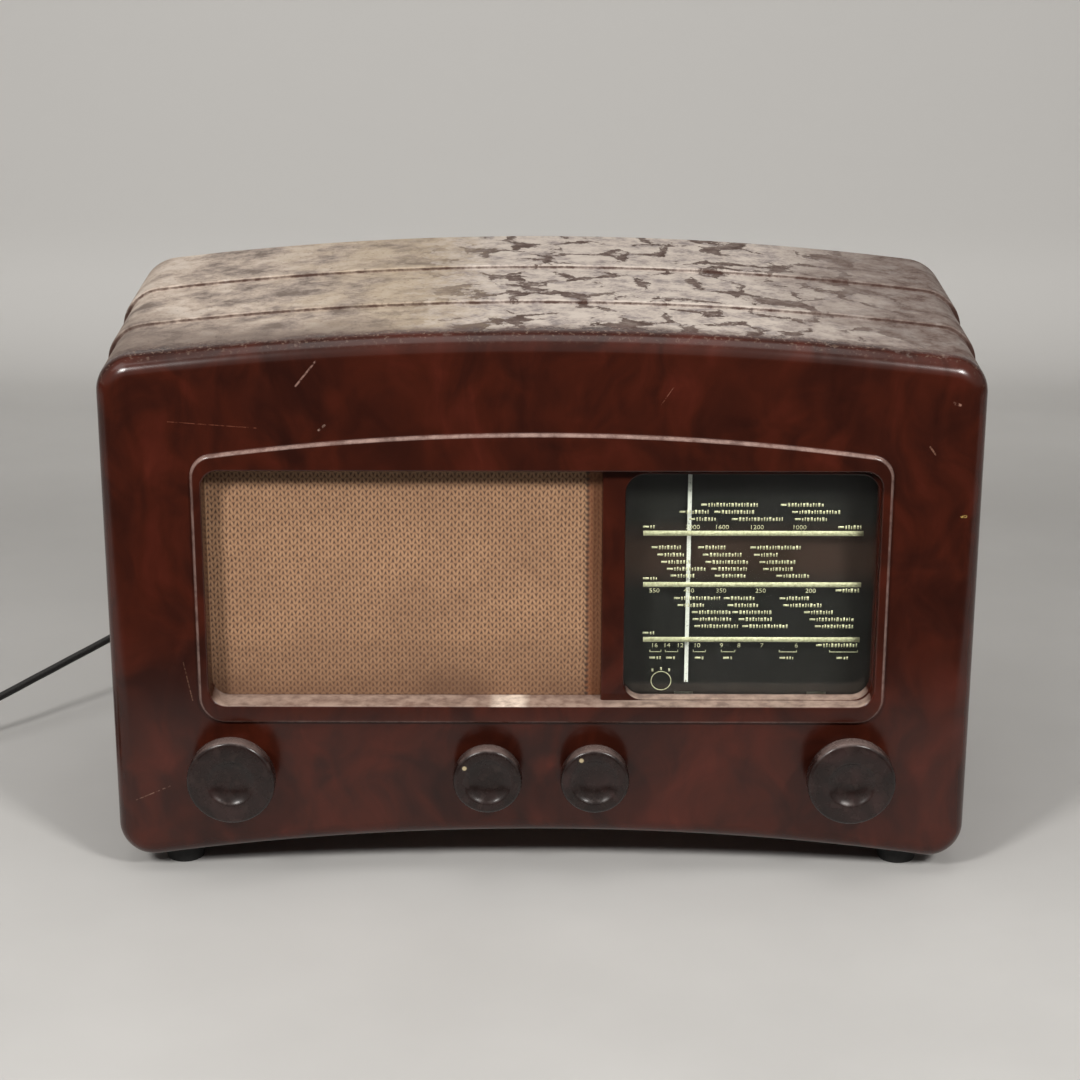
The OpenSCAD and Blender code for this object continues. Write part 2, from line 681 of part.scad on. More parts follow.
// A valve stands on its holder: moulded base, then a bulb that narrows to a shoulder and a dome
module valve(i, base_r, bulb_r, bulb_h) {
    color("#3a3330") placed() translate([valve_x[i], chassis_y + valve_y[i], chassis_top + holder_up])
        rotate_extrude() polygon([
            [0, 0], [base_r, 0], [base_r, 22], [base_r - 2, 24], [bulb_r - 4, 26], [bulb_r, 32],
            [bulb_r, bulb_h - 24], [bulb_r - 2, bulb_h - 16], [bulb_r - 6, bulb_h - 9], [6, bulb_h - 4],
            [5.5, bulb_h], [0, bulb_h]]);
}

module mixer_valve() { valve(0, 16, 15.5, 96); }
module if_valve() { valve(1, 16, 15.5, 92); }
module detector_valve() { valve(2, 16, 15.5, 92); }
module output_valve() { valve(3, 17, 19.5, 112); }
module rectifier_valve() { valve(4, 17, 18.5, 104); }

module valve_holders() {
    color("#8f7a58") placed() for (i = [0:4]) {
        translate([valve_x[i], chassis_y + valve_y[i], chassis_top]) {
            translate([0, 0, -6]) cylinder(h = 6 + holder_up, r = valve_hole_r - 0.5);
            cylinder(h = 2, r = valve_hole_r + 3);
        }
    }
}

module mains_transformer() {
    y = chassis_y + mains_y;
    color("#55504a") placed() {
        span([mains_x - 38, mains_x + 38], [y - 16, y + 16], [chassis_top + 8, chassis_top + 72]);
        span([mains_x - 38, mains_x + 38], [y - 22, y + 22], [chassis_top, chassis_top + 9]);
        translate([mains_x, y, chassis_top + 18]) {
            for (x = [-18, 18], v = [-14, 14]) translate([x, v, 0]) cylinder(h = 44, r = 14);
            translate([-18, -28, 0]) cube([36, 56, 44]);
        }
        span([mains_x - 30, mains_x + 30], [y - 10, y + 10], [chassis_top + 71, chassis_top + 74]);
    }
}

module output_transformer() {
    y = chassis_y + output_y;
    color("#5d5850") placed() {
        span([output_x - 22, output_x + 22], [y - 8, y + 8], [chassis_top, chassis_top + 36]);
        span([output_x - 12, output_x + 12], [y - 16, y + 16], [chassis_top + 7, chassis_top + 29]);
        span([output_x - 28, output_x + 28], [y - 8, y + 8], [chassis_top, chassis_top + 2]);
    }
}

module smoothing_capacitor() {
    color("#a9a9a4") placed() translate([smoothing_x, chassis_y + smoothing_y, chassis_top]) {
        cylinder(h = 74, r = 17.5);
        cylinder(h = 76, r = 15.5);
        cylinder(h = 14, r = 19);
        translate([17, -5, 0]) cube([9, 10, 2]);
        translate([-26, -5, 0]) cube([9, 10, 2]);
    }
}

module screened_can(x) {
    color("#b0b0aa") placed() difference() {
        union() {
            span([x - 15, x + 15], [chassis_y + can_y - 15, chassis_y + can_y + 15],
                [chassis_top, chassis_top + 68]);
            span([x - 13, x + 13], [chassis_y + can_y - 13, chassis_y + can_y + 13],
                [chassis_top, chassis_top + 70]);
        }
        for (s = [-7, 7]) post(x + s, chassis_y + can_y, [chassis_top + 64, far], 2);
    }
}

module if_can_1() { screened_can(can_x[0]); }
module if_can_2() { screened_can(can_x[1]); }

module coil_pack() {
    z = chassis_top - sheet;
    color("#a0845a") placed() {
        span([60, 140], [chassis_y + 20, chassis_y + 68], [z - 2, z]);
        for (x = [72, 91, 110, 129], y = [chassis_y + 32, chassis_y + 56]) {
            post(x, y, [z - 34, z - 1], 5);
            post(x, y, [z - 16, z - 8], 7.5);
            post(x, y, [z - 28, z - 20], 7.5);
        }
    }
}

module socket_panel() {
    y = chassis_back;
    x0 = socket_x[0] - 10;
    x1 = socket_x[1] + socket_pitch + 10;
    sockets = [for (x = socket_x, s = [0, socket_pitch]) x + s];
    color("#6b4a2a") placed() difference() {
        union() {
            span([x0, x1], [y, y + 2], [socket_z - 12, socket_z + 12]);
            for (x = sockets) rod(x, socket_z, [y - 6, y - 6 + socket_l], 3.4);
        }
        for (x = sockets) rod(x, socket_z, [y - 7, far], socket_r);
    }
}

// Two lamps that light the glass from its upper corners
module dial_lamps() {
    mid = (plate_x[0] + plate_x[1]) / 2;
    reach = (plate_x[1] - plate_x[0]) / 2;
    color(brass) placed() for (s = [-1, 1]) translate([mid, lamp_y, lamp_z]) rotate([0, 0, s < 0 ? 0 : 180])
        translate([-reach, 0, 0]) {
            translate([1, s < 0 ? -6 : -lamp_set, -6]) cube([2, lamp_set + 6, 12]);
            rotate([0, 90, 0]) translate([0, 0, 2]) cylinder(h = 14, r = 6);
            rotate([0, 90, 0]) translate([0, 0, 15]) cylinder(h = 13, r = 5.5);
            translate([28, 0, 0]) sphere(r = 5.5);
        }
}

module gang_frame() {
    color("#b5b4ae") placed() {
        span([gang_x - 22, gang_x + 22], gang_y, [chassis_top, chassis_top + 2]);
        for (y = [[gang_y[0], gang_y[0] + 2], [gang_y[1] - 2, gang_y[1]]]) difference() {
            span([gang_x - 22, gang_x + 22], y, [chassis_top + 1, gang_z + rotor_r + 4]);
            rod(gang_x, gang_z, [0, far], y[0] == gang_y[0] ? shaft_r + fit : 2 + fit);
        }
        difference() {
            span([gang_x - 14, gang_x + 22], [gang_y[0] + 28.5, gang_y[0] + 29.5],
                [chassis_top + 1, gang_z + rotor_r + 4]);
            rod(gang_x, gang_z, [0, far], shaft_r + 2);
        }
    }
}

module half_disc(r) {
    intersection() {
        circle(r);
        translate([0, -r]) square([r, 2 * r]);
    }
}

// Fixed vanes, each cut round the shaft, on two bars that run between the end plates
module gang_stator() {
    color("#c4c3bd") placed() {
        for (y = stacks, k = [0:rotor_vanes]) {
            slab([y + k * plate_pitch, y + k * plate_pitch + vane_t]) difference() {
                translate([gang_x - 20, gang_z - 17]) square([19, 34]);
                translate([gang_x, gang_z]) circle(shaft_r + 3);
            }
        }
        for (z = [-15, 15]) {
            rod(gang_x - 18, gang_z + z, [gang_y[0] + 2, gang_y[1] - 2], 1.5);
        }
    }
}

module gang_rotor() {
    color("#cfceca") placed() {
        rod(gang_x, gang_z, [cord_y - 4, gang_y[1] - 2.5], shaft_r);
        rod(gang_x, gang_z, [gang_y[1] - 3, gang_y[1] + 1], 2);
        for (y = stacks, k = [0:rotor_vanes - 1]) {
            y0 = y + k * plate_pitch + (plate_pitch + vane_t) / 2 - vane_t / 2;
            slab([y0, y0 + vane_t]) translate([gang_x, gang_z]) rotate(rotor_angle) {
                half_disc(rotor_r);
                circle(shaft_r + 1.5);
            }
        }
    }
}

module drive_drum() {
    groove = drum_r - drive_r - gap;
    color("#a88a4e") placed() difference() {
        turned(gang_x, gang_z, cord_y) polygon([
            [shaft_r + fit, -5], [7, -5], [7, -1], [groove - 3, -1], [groove - 3, -2.5],
            [groove + 3.3, -2.5], [groove + 3.3, -1.6], [groove, -1.6], [groove, 1.6],
            [groove + 3.3, 1.6], [groove + 3.3, 2.5], [groove - 3, 2.5], [groove - 3, 1], [7, 1],
            [7, 9], [shaft_r + fit, 9]]);
        for (a = [0:72:288]) rod(gang_x + 20 * cos(a), gang_z + 20 * sin(a), [0, far], 8);
    }
}

module drive_cord() {
    color("#b8a888") placed() loft(tube_rings(drive_path, drive_r, 6, [0, 1, 0]));
}

module pulley(x) {
    groove = pulley_r - drive_r - gap;
    color(brass) placed() turned(x, pulley_z, cord_y) polygon([
        [1.5 + fit, -2], [groove + 1.8, -2], [groove + 1.8, -1.2], [groove, -0.9], [groove, 0.9],
        [groove + 1.8, 1.2], [groove + 1.8, 2], [1.5 + fit, 2]]);
}

module pulley_left() { pulley(pulley_x[0]); }
module pulley_right() { pulley(pulley_x[1]); }

// A control's spindle runs from inside its knob to inside its body
module tuning_spindle() {
    barrel = winding_r - drive_r - gap;
    color(steel) placed() turned(large_x, knob_z, 0) polygon([
        [0, 7 - large_reach], [spindle_r, 7 - large_reach], [spindle_r, cord_y - 4.5],
        [barrel + 1.8, cord_y - 4.5], [barrel + 1.8, cord_y - 3], [barrel, cord_y - 2.4],
        [barrel, cord_y + 2.8], [barrel + 1.8, cord_y + 3.4], [barrel + 1.8, chassis_y - 4],
        [spindle_r, chassis_y - 4], [spindle_r, chassis_y + 15], [spindle_r + 2, chassis_y + 15],
        [spindle_r + 2, chassis_y + 16], [spindle_r, chassis_y + 16], [spindle_r, chassis_y + 18],
        [0, chassis_y + 18]]);
}

module tuning_bush() {
    color(brass) placed() turned(large_x, knob_z, chassis_y) polygon([
        [spindle_r + fit, -3.5], [5, -3.5], [5, sheet], [8, sheet], [8, sheet + 3], [6, sheet + 3],
        [6, 14.5], [spindle_r + fit, 14.5]]);
}

module pointer() {
    front = plate_y - gap;
    back = plate_y + plate_t + gap;
    top = plate_z[1] + gap;
    color("#e8e6dc") placed() translate([pointer_x, 0, 0]) difference() {
        union() {
            span([-1, 1], [front - 2.4, front - 1.2], [dial_z[0] + 4, plate_z[1] - 1]);
            span([-5, 5], [front - 1.2, front], [plate_z[1] - 8, top + 1.2]);
            span([-5, 5], [front - 1.2, back + 1.2], [top, top + 1.2]);
            span([-5, 5], [back, back + 1.2], [run_z - 5, top + 1.2]);
            span([-3, 3], [back + 1, cord_y + 1.7], [run_z - 1.7, run_z + 1.7]);
        }
        translate([0, cord_y, run_z]) rotate([0, 90, 0]) cylinder(h = 20, r = drive_r + gap, center = true);
    }
}

// Sheet metal plate behind the glass, with ears for the lamps, pulley studs and two folded feet
module dial_plate() {
    y1 = plate_y + plate_t;
    color("#2b2320") placed() {
        span(plate_x, [plate_y, y1], plate_z);
        for (s = [0, 1]) {
            edge = s == 0 ? plate_x[0] : plate_x[1];
            x_in = s == 0 ? [edge, edge + 13] : [edge - 13, edge];
            x_leg = s == 0 ? [edge, edge + 1] : [edge - 1, edge];
            span(x_in, [plate_y, y1], [plate_z[1] - 1, lamp_z + 7]);
            translate([x_leg[0], 0, 0]) rotate([90, 0, 90]) linear_extrude(1) polygon([
                [y1 - 0.5, plate_z[0]], [chassis_y, chassis_top], [chassis_y + 18, chassis_top],
                [chassis_y + 18, chassis_top + 2], [y1, plate_z[0] + 52], [y1 - 0.5, plate_z[0] + 52]]);
            span(s == 0 ? [edge, edge + 10] : [edge - 10, edge], [chassis_y + 2, chassis_y + 18],
                [chassis_top, chassis_top + 1]);
            rod(pulley_x[s], pulley_z, [y1 - 0.5, cord_y - 2.3], 3);
            rod(pulley_x[s], pulley_z, [y1, cord_y + 2.4], 1.5);
            rod(pulley_x[s], pulley_z, [cord_y + 2.3, cord_y + 3.5], 2.6);
        }
    }
}

module dial_glass() {
    color([0.75, 0.8, 0.8, 0.4]) placed() slab([recess_d, glass_back]) round_rect(glass_x, glass_z, 3);
}

module glass_clips() {
    color(steel) placed() for (p = clip_posts) {
        inward = p[2] == 0 ? 1 : -1;
        z = [p[1] - 4 * inward, p[1] + 12 * inward];
        span([p[0] - 5, p[0] + 5], [glass_back, glass_back + 0.8], [min(z), max(z)]);
        rod(p[0], p[1], [glass_back + 0.4, glass_back + 2.2], 2.6);
        rod(p[0], p[1], [8, glass_back + 1], 1.25);
    }
}

// Round control body with a threaded bush and a hollow for the spindle's end
module control_body(x, radius, depth) {
    difference() {
        union() {
            rod(x, knob_z, [chassis_y - 8, chassis_y + sheet], 4.75);
            rod(x, knob_z, [chassis_y + sheet, chassis_y + sheet + depth], radius);
            span([x - 9, x + 9], [chassis_y + sheet + 3, chassis_y + sheet + 5],
                [knob_z - radius - 7, knob_z]);
        }
        rod(x, knob_z, [0, chassis_y + sheet + 9], spindle_r + fit);
    }
}

module volume_control() {
    color("#8d8b84") placed() {
        control_body(-large_x, 14, 13);
        rod(-large_x, knob_z, [chassis_y + sheet + 12.5, chassis_y + sheet + 25], 12.5);
    }
}

module tone_control() {
    color("#8d8b84") placed() control_body(-small_x, 13, 12);
}

module wave_switch() {
    color("#96815a") placed() {
        control_body(small_x, 15, 11);
        for (y = [22, 34]) rod(small_x, knob_z, [chassis_y + y, chassis_y + y + 1.6], 17);
        for (s = [-1, 1]) rod(small_x + 12.5 * s, knob_z, [chassis_y + sheet + 10, chassis_y + 38], 1.6);
    }
}

module spindle(x, reach) {
    color(steel) placed() rod(x, knob_z, [7 - reach, chassis_y + sheet + 8.5], spindle_r);
}

module volume_spindle() { spindle(-large_x, large_reach); }
module tone_spindle() { spindle(-small_x, small_reach); }
module wave_spindle() { spindle(small_x, small_reach); }

module control_nuts() {
    color(brass) placed() for (x = [-large_x, -small_x, small_x, large_x]) difference() {
        translate([x, chassis_y - 2.5, knob_z]) rotate([-90, 0, 0]) cylinder(h = 2.5, r = 8, $fn = 6);
        rod(x, knob_z, [0, far], 5.1);
    }
}

// Knob turned about its own axis: collar, grip with a rounded front edge, and a dished face
module knob(x, r, reach, dish) {
    back = 1.6;
    h = reach - back;
    lip = 2.2;
    collar = r * 0.66;
    bore = h - 5;
    color("#2b1210") placed() translate([x, -back, knob_z]) rotate([90, 0, 0]) rotate_extrude() polygon(concat(
        [[spindle_r + fit, 0], [collar, 0], [collar, h - grip], [r - 1.2, h - grip], [r - 0.4, h - grip + 0.8]],
        arc(r - lip, h - lip, lip, 0, 90, 6),
        [for (i = [0:8]) let (t = 1 - i / 8) [dish * t, h - 2.6 * (1 - t * t)]],
        [[0, bore], [spindle_r + fit, bore]]));
}

module volume_knob() { knob(-large_x, large_r, large_reach, large_dish); }
module tuning_knob() { knob(large_x, large_r, large_reach, large_dish); }
module tone_knob() { knob(-small_x, small_r, small_reach, small_dish); }
module wave_knob() { knob(small_x, small_r, small_reach, small_dish); }

// Rubber sleeve held in the chassis; it passes through the back cover and tapers to the cord
module cord_grommet() {
    exit = cord_route[0];
    y_end = exit[1] - front_y;
    color(black) placed() {
        rod(exit[0], exit[2], [chassis_back, chassis_back + 3], 9);
        rod(exit[0], exit[2], [chassis_back - sheet - 2.5, chassis_back + 1], 6);
        taper(exit[0], exit[2], [chassis_back + 2.5, y_end], 6, cord_d / 2 + 0.8);
    }
}

module mains_cord() {
    color(black) {
        top = coil_path[coil_steps + 2];
        low = coil_path[0];
        loft(tube_rings(concat(cord_route, [top + coil_heading(coil_turns), top]), cord_d / 2, 10, [0, 0, 1]));
        loft(tube_rings(concat([low, low - coil_heading(0)], tail_route), cord_d / 2, 10, [0, 0, 1]));
    }
}

module cord_coil() {
    color(black) loft(tube_rings(coil_path, cord_d / 2, 6, [0, 0, 1]));
}

module coil_tie() {
    r = [coil_r - cord_d / 2 - play, coil_out + cord_d / 2 + play];
    z = [tie_t, coil_z + (layers - 1) * coil_pitch + cord_d / 2 + play];
    color("#6a6a66") translate([coil_at[0], coil_at[1], 0]) rotate([0, 0, -40]) difference() {
        span([r[0] - tie_t, r[1] + tie_t], [-3.5, 3.5], [0, z[1] + tie_t]);
        span(r, [-5, 5], z);
    }
}

module plug_outline(inset) {
    polygon([
        [inset - 18, -inset], [18 - inset, -inset], [25 - inset, -14], [25 - inset, inset - 50],
        [inset - 25, inset - 50], [inset - 25, -14]]);
}

// Flat three-pin plug that lies with its pins up; its cord comes in at the narrow end
module plug_body() {
    end = tail_route[len(tail_route) - 1];
    color(black) translate([end[0], end[1], 0]) {
        linear_extrude(9.7) plug_outline(0);
        translate([0, 0, 9.2]) linear_extrude(1.6) plug_outline(0.6);
        translate([0, 0, 10.3]) linear_extrude(9.7) plug_outline(0);
    }
}

module plug_pins() {
    end = tail_route[len(tail_route) - 1];
    color(brass) translate([end[0], end[1], 20]) {
        for (s = [-1, 1]) translate([11.1 * s - 3.175, -19, 0]) cube([6.35, 4, 17.7]);
        translate([-2, -43.2, 0]) cube([4, 8, 22.7]);
    }
}

cabinet();
bottom_cover();
bottom_screws();
back_cover();
back_screws();
feet();
felt_washers();
chassis_bolts();
grille_cloth();
baffle_board();
baffle_screws();
speaker_frame();
speaker_cone();
speaker_magnet();
chassis();
mixer_valve();
if_valve();
detector_valve();
output_valve();
rectifier_valve();
valve_holders();
mains_transformer();
output_transformer();
smoothing_capacitor();
if_can_1();
if_can_2();
coil_pack();
socket_panel();
dial_lamps();
gang_frame();
gang_stator();
gang_rotor();
drive_drum();
drive_cord();
pulley_left();
pulley_right();
tuning_spindle();
tuning_bush();
pointer();
dial_plate();
dial_glass();
glass_clips();
volume_control();
volume_spindle();
tone_control();
tone_spindle();
wave_switch();
wave_spindle();
control_nuts();
volume_knob();
tone_knob();
wave_knob();
tuning_knob();
cord_grommet();
mains_cord();
cord_coil();
coil_tie();
plug_body();
plug_pins();
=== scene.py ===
"""Looks for the radio receiver: its moulded case, cloth, dial, knobs and mains lead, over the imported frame.

The lead's route and the places in the finishes are in metres. Other lengths are in millimetres until a mesh is made,
and have the names that the part's source gives them.
"""

import json
import math

import bmesh
import bpy
from mathutils import Matrix, Vector


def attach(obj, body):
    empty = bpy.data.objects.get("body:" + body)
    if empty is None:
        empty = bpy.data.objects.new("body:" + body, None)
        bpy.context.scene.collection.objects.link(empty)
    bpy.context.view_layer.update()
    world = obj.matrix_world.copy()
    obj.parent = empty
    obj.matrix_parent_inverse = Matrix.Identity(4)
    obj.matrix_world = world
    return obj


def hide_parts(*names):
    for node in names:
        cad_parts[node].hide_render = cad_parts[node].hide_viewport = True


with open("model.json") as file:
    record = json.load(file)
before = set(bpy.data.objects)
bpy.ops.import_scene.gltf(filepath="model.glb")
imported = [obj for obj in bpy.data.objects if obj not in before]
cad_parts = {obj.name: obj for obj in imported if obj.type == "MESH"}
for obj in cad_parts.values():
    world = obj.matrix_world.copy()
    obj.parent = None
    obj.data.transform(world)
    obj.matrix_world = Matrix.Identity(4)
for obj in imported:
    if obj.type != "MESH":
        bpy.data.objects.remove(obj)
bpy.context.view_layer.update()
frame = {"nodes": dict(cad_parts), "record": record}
nodes = frame["nodes"]

MM = 0.001
FRONT_Y = -92.5  # the case's front face; the front view below is drawn as if it were at 0

# The case, as in the part's source
HALF, WALL, LIFT = 225.0, 4.5, 6.0
SIDE_H, CROWN, CORNER_R, TOE_R, ARCH_RISE = 277.0, 15.0, 19.0, 18.5, 18.0
EDGE_R, BAND_1, BAND_2, STEP_OUT, DEPTH = 10.0, 63.0, 132.0, 2.4, 205.0
FLOOR_Z, FLOOR_TOP, BACK_Y = 28.0, 32.0, 198.5
OPEN_X, OPEN_Z, OPEN_R = (-173.0, 173.0), (99.0, 227.0), 9.0
FRAME_HALF, FRAME_Z0, FRAME_TOE_R, FRAME_CORNER_R, FRAME_PROUD = 178.5, 89.0, 14.0, 12.0, 2.5
FRAME_RISE, FRAME_ABOVE, REVEAL = 13.0, 20.0, 4.0
RECESS, PANEL, DIVIDER_X = 13.5, 6.0, 31.0
DIAL_X, DIAL_Z, DIAL_R = (43.0, 172.4), (99.6, 223.0), 10.0
CLOTH_Y, CLOTH_X, CLOTH_Z, PRINT_Y = 13.88, (-181.0, 36.0), (95.5, 230.5), 16.04
LARGE_X, SMALL_X, KNOB_Z = 161.5, 28.0, 62.5
LARGE_KNOB, SMALL_KNOB = (23, 20, 12.3), (18, 17.5, 12.4)  # radius, reach out of the front, radius of the dish
DISH_DEEP, DOT_OUT = 3.1, 14.2
LEAD_X, LEAD_Z, PLUG_X, PLUG_Y = -192, 56, -390, -60

CROWN_R = (HALF ** 2 + CROWN ** 2) / (2 * CROWN)
CROWN_Z = LIFT + SIDE_H + CROWN - CROWN_R
TOP_X = HALF - CORNER_R
TOP_Z = CROWN_Z + math.sqrt((CROWN_R - CORNER_R) ** 2 - TOP_X ** 2)
ARCH_R = (HALF ** 2 + ARCH_RISE ** 2) / (2 * ARCH_RISE)
ARCH_Z = LIFT + ARCH_RISE - ARCH_R
TOE_X = HALF - TOE_R
TOE_Z = ARCH_Z + math.sqrt((ARCH_R + TOE_R) ** 2 - TOE_X ** 2)
FRAME_R = (FRAME_HALF ** 2 + FRAME_RISE ** 2) / (2 * FRAME_RISE)
FRAME_TOP_Z = OPEN_Z[1] + FRAME_ABOVE - FRAME_R
FRAME_CX = FRAME_HALF - FRAME_CORNER_R
FRAME_CZ = FRAME_TOP_Z + math.sqrt((FRAME_R - FRAME_CORNER_R) ** 2 - FRAME_CX ** 2)


def pairs(across, along):
    """Each place that two rows of numbers give together."""
    return [(a, b) for a in across for b in along]


# What the case carries: its places are in the front view, and those under the floor are seen from above
BAFFLE_POSTS, CLIP_POSTS = pairs((-165, 20), (88, 237)), pairs((75, 145), (88, 238))
FEET, BOLTS = pairs((-193, 193), (26, 180)), pairs((-166.5, 166.5), (50, 174))
HATCH_X, HATCH_Y, HATCH_SCREWS = (-140, 140), (66, 158), pairs((-145, 145), (61, 163))
FOOT_POST_R, SCREW_R, PILOT_R = 13, 1.75, 1.85
INNER_HALF, INNER_R = HALF + 2 * STEP_OUT - WALL, CROWN_R + 2 * STEP_OUT - WALL
LUG, LUG_DEEP, LUG_X, LUG_Z = 7, 12, 120, (70, 235)  # half a lug's width, its depth, and its places
LUG_TOP = CROWN_Z + math.sqrt(INNER_R ** 2 - LUG_X ** 2) - 8
LUG_HOLES = pairs((LUG - INNER_HALF, INNER_HALF - LUG), LUG_Z) + [(-LUG_X, LUG_TOP), (LUG_X, LUG_TOP)]


# ---------------------------------------------------------------- camera

def place_camera():
    """The photograph's camera: 87.4 mm lens, 1.36 m in front, looking down 19 degrees, rolled a tenth of one."""
    lens = bpy.data.cameras.new("camera")
    lens.lens, lens.sensor_width, lens.shift_y = 87.4, 36.0, -0.00139
    camera = bpy.data.objects.new("camera", lens)
    bpy.context.scene.collection.objects.link(camera)
    camera.matrix_world = (Matrix.Translation((-0.00085, -1.3580, 0.6291))
                           @ Matrix.Rotation(math.radians(70.895), 4, "X")
                           @ Matrix.Rotation(math.radians(0.111), 4, "Z"))
    bpy.context.scene.camera = camera


place_camera()


# ---------------------------------------------------------------- mains lead

CORD_R = 0.00225
ROUTE = [
    (-0.192, 0.137, 0.056), (-0.192, 0.142, 0.056), (-0.1935, 0.1515, 0.056), (-0.1985, 0.1595, 0.0555),
    (-0.206, 0.166, 0.055), (-0.2145, 0.169, 0.0545), (-0.2245, 0.169, 0.0535), (-0.233, 0.166, 0.052),
    (-0.24, 0.1605, 0.0505), (-0.248, 0.1535, 0.049), (-0.256, 0.1465, 0.0475), (-0.265, 0.1385, 0.045),
    (-0.275, 0.1295, 0.042), (-0.285, 0.121, 0.039), (-0.295, 0.112, 0.036), (-0.305, 0.1035, 0.033),
    (-0.315, 0.0945, 0.03), (-0.324, 0.0865, 0.0275), (-0.335, 0.0775, 0.025), (-0.346, 0.0685, 0.023),
    (-0.357, 0.06, 0.022), (-0.368, 0.0515, 0.021), (-0.378, 0.0435, 0.0205)]
TAIL = [
    (-0.3975, -0.003, 0.0035), (-0.398, -0.013, 0.004), (-0.3975, -0.023, 0.005), (-0.396, -0.033, 0.0065),
    (-0.3935, -0.042, 0.0085), (-0.391, -0.049, 0.01), (-0.39, -0.056, 0.01), (-0.39, -0.06, 0.01)]
COIL_AT, COIL_TURNS, COIL_START, LAYERS = (-0.366, 0.012), 9.125, 180, 4
COIL_R, COIL_PITCH, COIL_Z, LAYER_TURNS = 0.0205, 0.0057, 0.00355, 1.90625
COIL_OUT = COIL_R + LAYER_TURNS * COIL_PITCH
COIL_EASE = 0.0045


def coil_point(s):
    """A point of the coil, s turns from its bottom outer end; each layer spirals, then eases up half a turn."""
    stage = LAYER_TURNS + 0.5
    k = min(int(s / stage), LAYERS - 1)
    u = s - k * stage
    inward = min(u / LAYER_TURNS, 1) * (COIL_OUT - COIL_R)
    r = COIL_OUT - inward if k % 2 == 0 else COIL_R + inward
    climb = (1 - math.cos(math.pi * (u - LAYER_TURNS) / 0.5)) / 2 if u > LAYER_TURNS else 0
    a = math.radians(COIL_START - 360 * s)
    return (COIL_AT[0] + r * math.cos(a), COIL_AT[1] + r * math.sin(a), COIL_Z + COIL_PITCH * (k + climb))


def smooth_run(points, steps=4):
    """The run through the given points, as a curve that passes through each of them."""
    out = []
    for i in range(len(points) - 1):
        p = [Vector(points[max(0, min(len(points) - 1, j))]) for j in (i - 1, i, i + 1, i + 2)]
        for k in range(steps):
            t = k / steps
            out.append(0.5 * (2 * p[1] + (p[2] - p[0]) * t + (2 * p[0] - 5 * p[1] + 4 * p[2] - p[3]) * t * t
                              + (3 * p[1] - p[0] - 3 * p[2] + p[3]) * t * t * t))
    return out + [Vector(points[-1])]


def cord_points():
    """The lead from the sleeve to the plug: down from the back, round the coil from its top to its foot, and on."""
    turns = 360
    coil = [Vector(coil_point(COIL_TURNS * min(i / turns, 0.99999))) for i in range(turns + 1)]
    low, high = coil[0], coil[-1]
    end = math.radians(COIL_START - 360 * COIL_TURNS)
    run_in = high + COIL_EASE * Vector((math.sin(end), -math.cos(end), 0))
    run_out = low - COIL_EASE * Vector((0, 1, 0))
    first = smooth_run(ROUTE + [tuple(run_in)])
    last = smooth_run([tuple(run_out)] + TAIL)
    return first + coil[::-1] + last


cord_line = cord_points()
cord_curve = bpy.data.curves.new("mains_lead", "CURVE")
cord_curve.dimensions = "3D"
cord_curve.bevel_depth = CORD_R
cord_curve.bevel_resolution = 6
cord_curve.use_fill_caps = True
run = cord_curve.splines.new("POLY")
run.points.add(len(cord_line) - 1)
for point, at in zip(run.points, cord_line):
    point.co = (*at, 1)
mains_lead = bpy.data.objects.new("mains_lead", cord_curve)
bpy.context.scene.collection.objects.link(mains_lead)


# ---------------------------------------------------------------- mesh helpers

def arc(cx, cz, r, a0, a1, n, last=True):
    """n steps of an arc in the front view, in degrees, as (x, z) points."""
    return [(cx + r * math.cos(math.radians(a0 + (a1 - a0) * i / n)),
             cz + r * math.sin(math.radians(a0 + (a1 - a0) * i / n))) for i in range(n + 1 if last else n)]


def outline(g):
    """The case's front view, grown by g, counter-clockwise from the right toe."""
    a = math.degrees(math.atan2(TOE_Z - ARCH_Z, TOE_X))
    b = math.degrees(math.atan2(TOP_Z - CROWN_Z, TOP_X))
    return (arc(TOE_X, TOE_Z, TOE_R + g, a - 180, 0, 18) + arc(TOP_X, TOP_Z, CORNER_R + g, 0, b, 16, False)
            + arc(0, CROWN_Z, CROWN_R + g, b, 180 - b, 64, False)
            + arc(-TOP_X, TOP_Z, CORNER_R + g, 180 - b, 180, 16)
            + arc(-TOE_X, TOE_Z, TOE_R + g, 180, 360 - a, 18, False)
            + arc(0, ARCH_Z, ARCH_R - g, 180 - a, a, 56, False))


def upper_outline(g, z):
    """The case's front view above a level z, grown by g."""
    b = math.degrees(math.atan2(TOP_Z - CROWN_Z, TOP_X))
    return ([(HALF + g, z)] + arc(TOP_X, TOP_Z, CORNER_R + g, 0, b, 12, False)
            + arc(0, CROWN_Z, CROWN_R + g, b, 180 - b, 48, False)
            + arc(-TOP_X, TOP_Z, CORNER_R + g, 180 - b, 180, 12) + [(-HALF - g, z)])


def lower_outline():
    """The hollow under the inner floor, in the front view."""
    return ([(TOE_X, -20)] + arc(TOE_X, TOE_Z, TOE_R - WALL, -90, 0, 12) + [(HALF - WALL, FLOOR_Z),
            (WALL - HALF, FLOOR_Z)] + arc(-TOE_X, TOE_Z, TOE_R - WALL, 180, 270, 12) + [(-TOE_X, -20)])


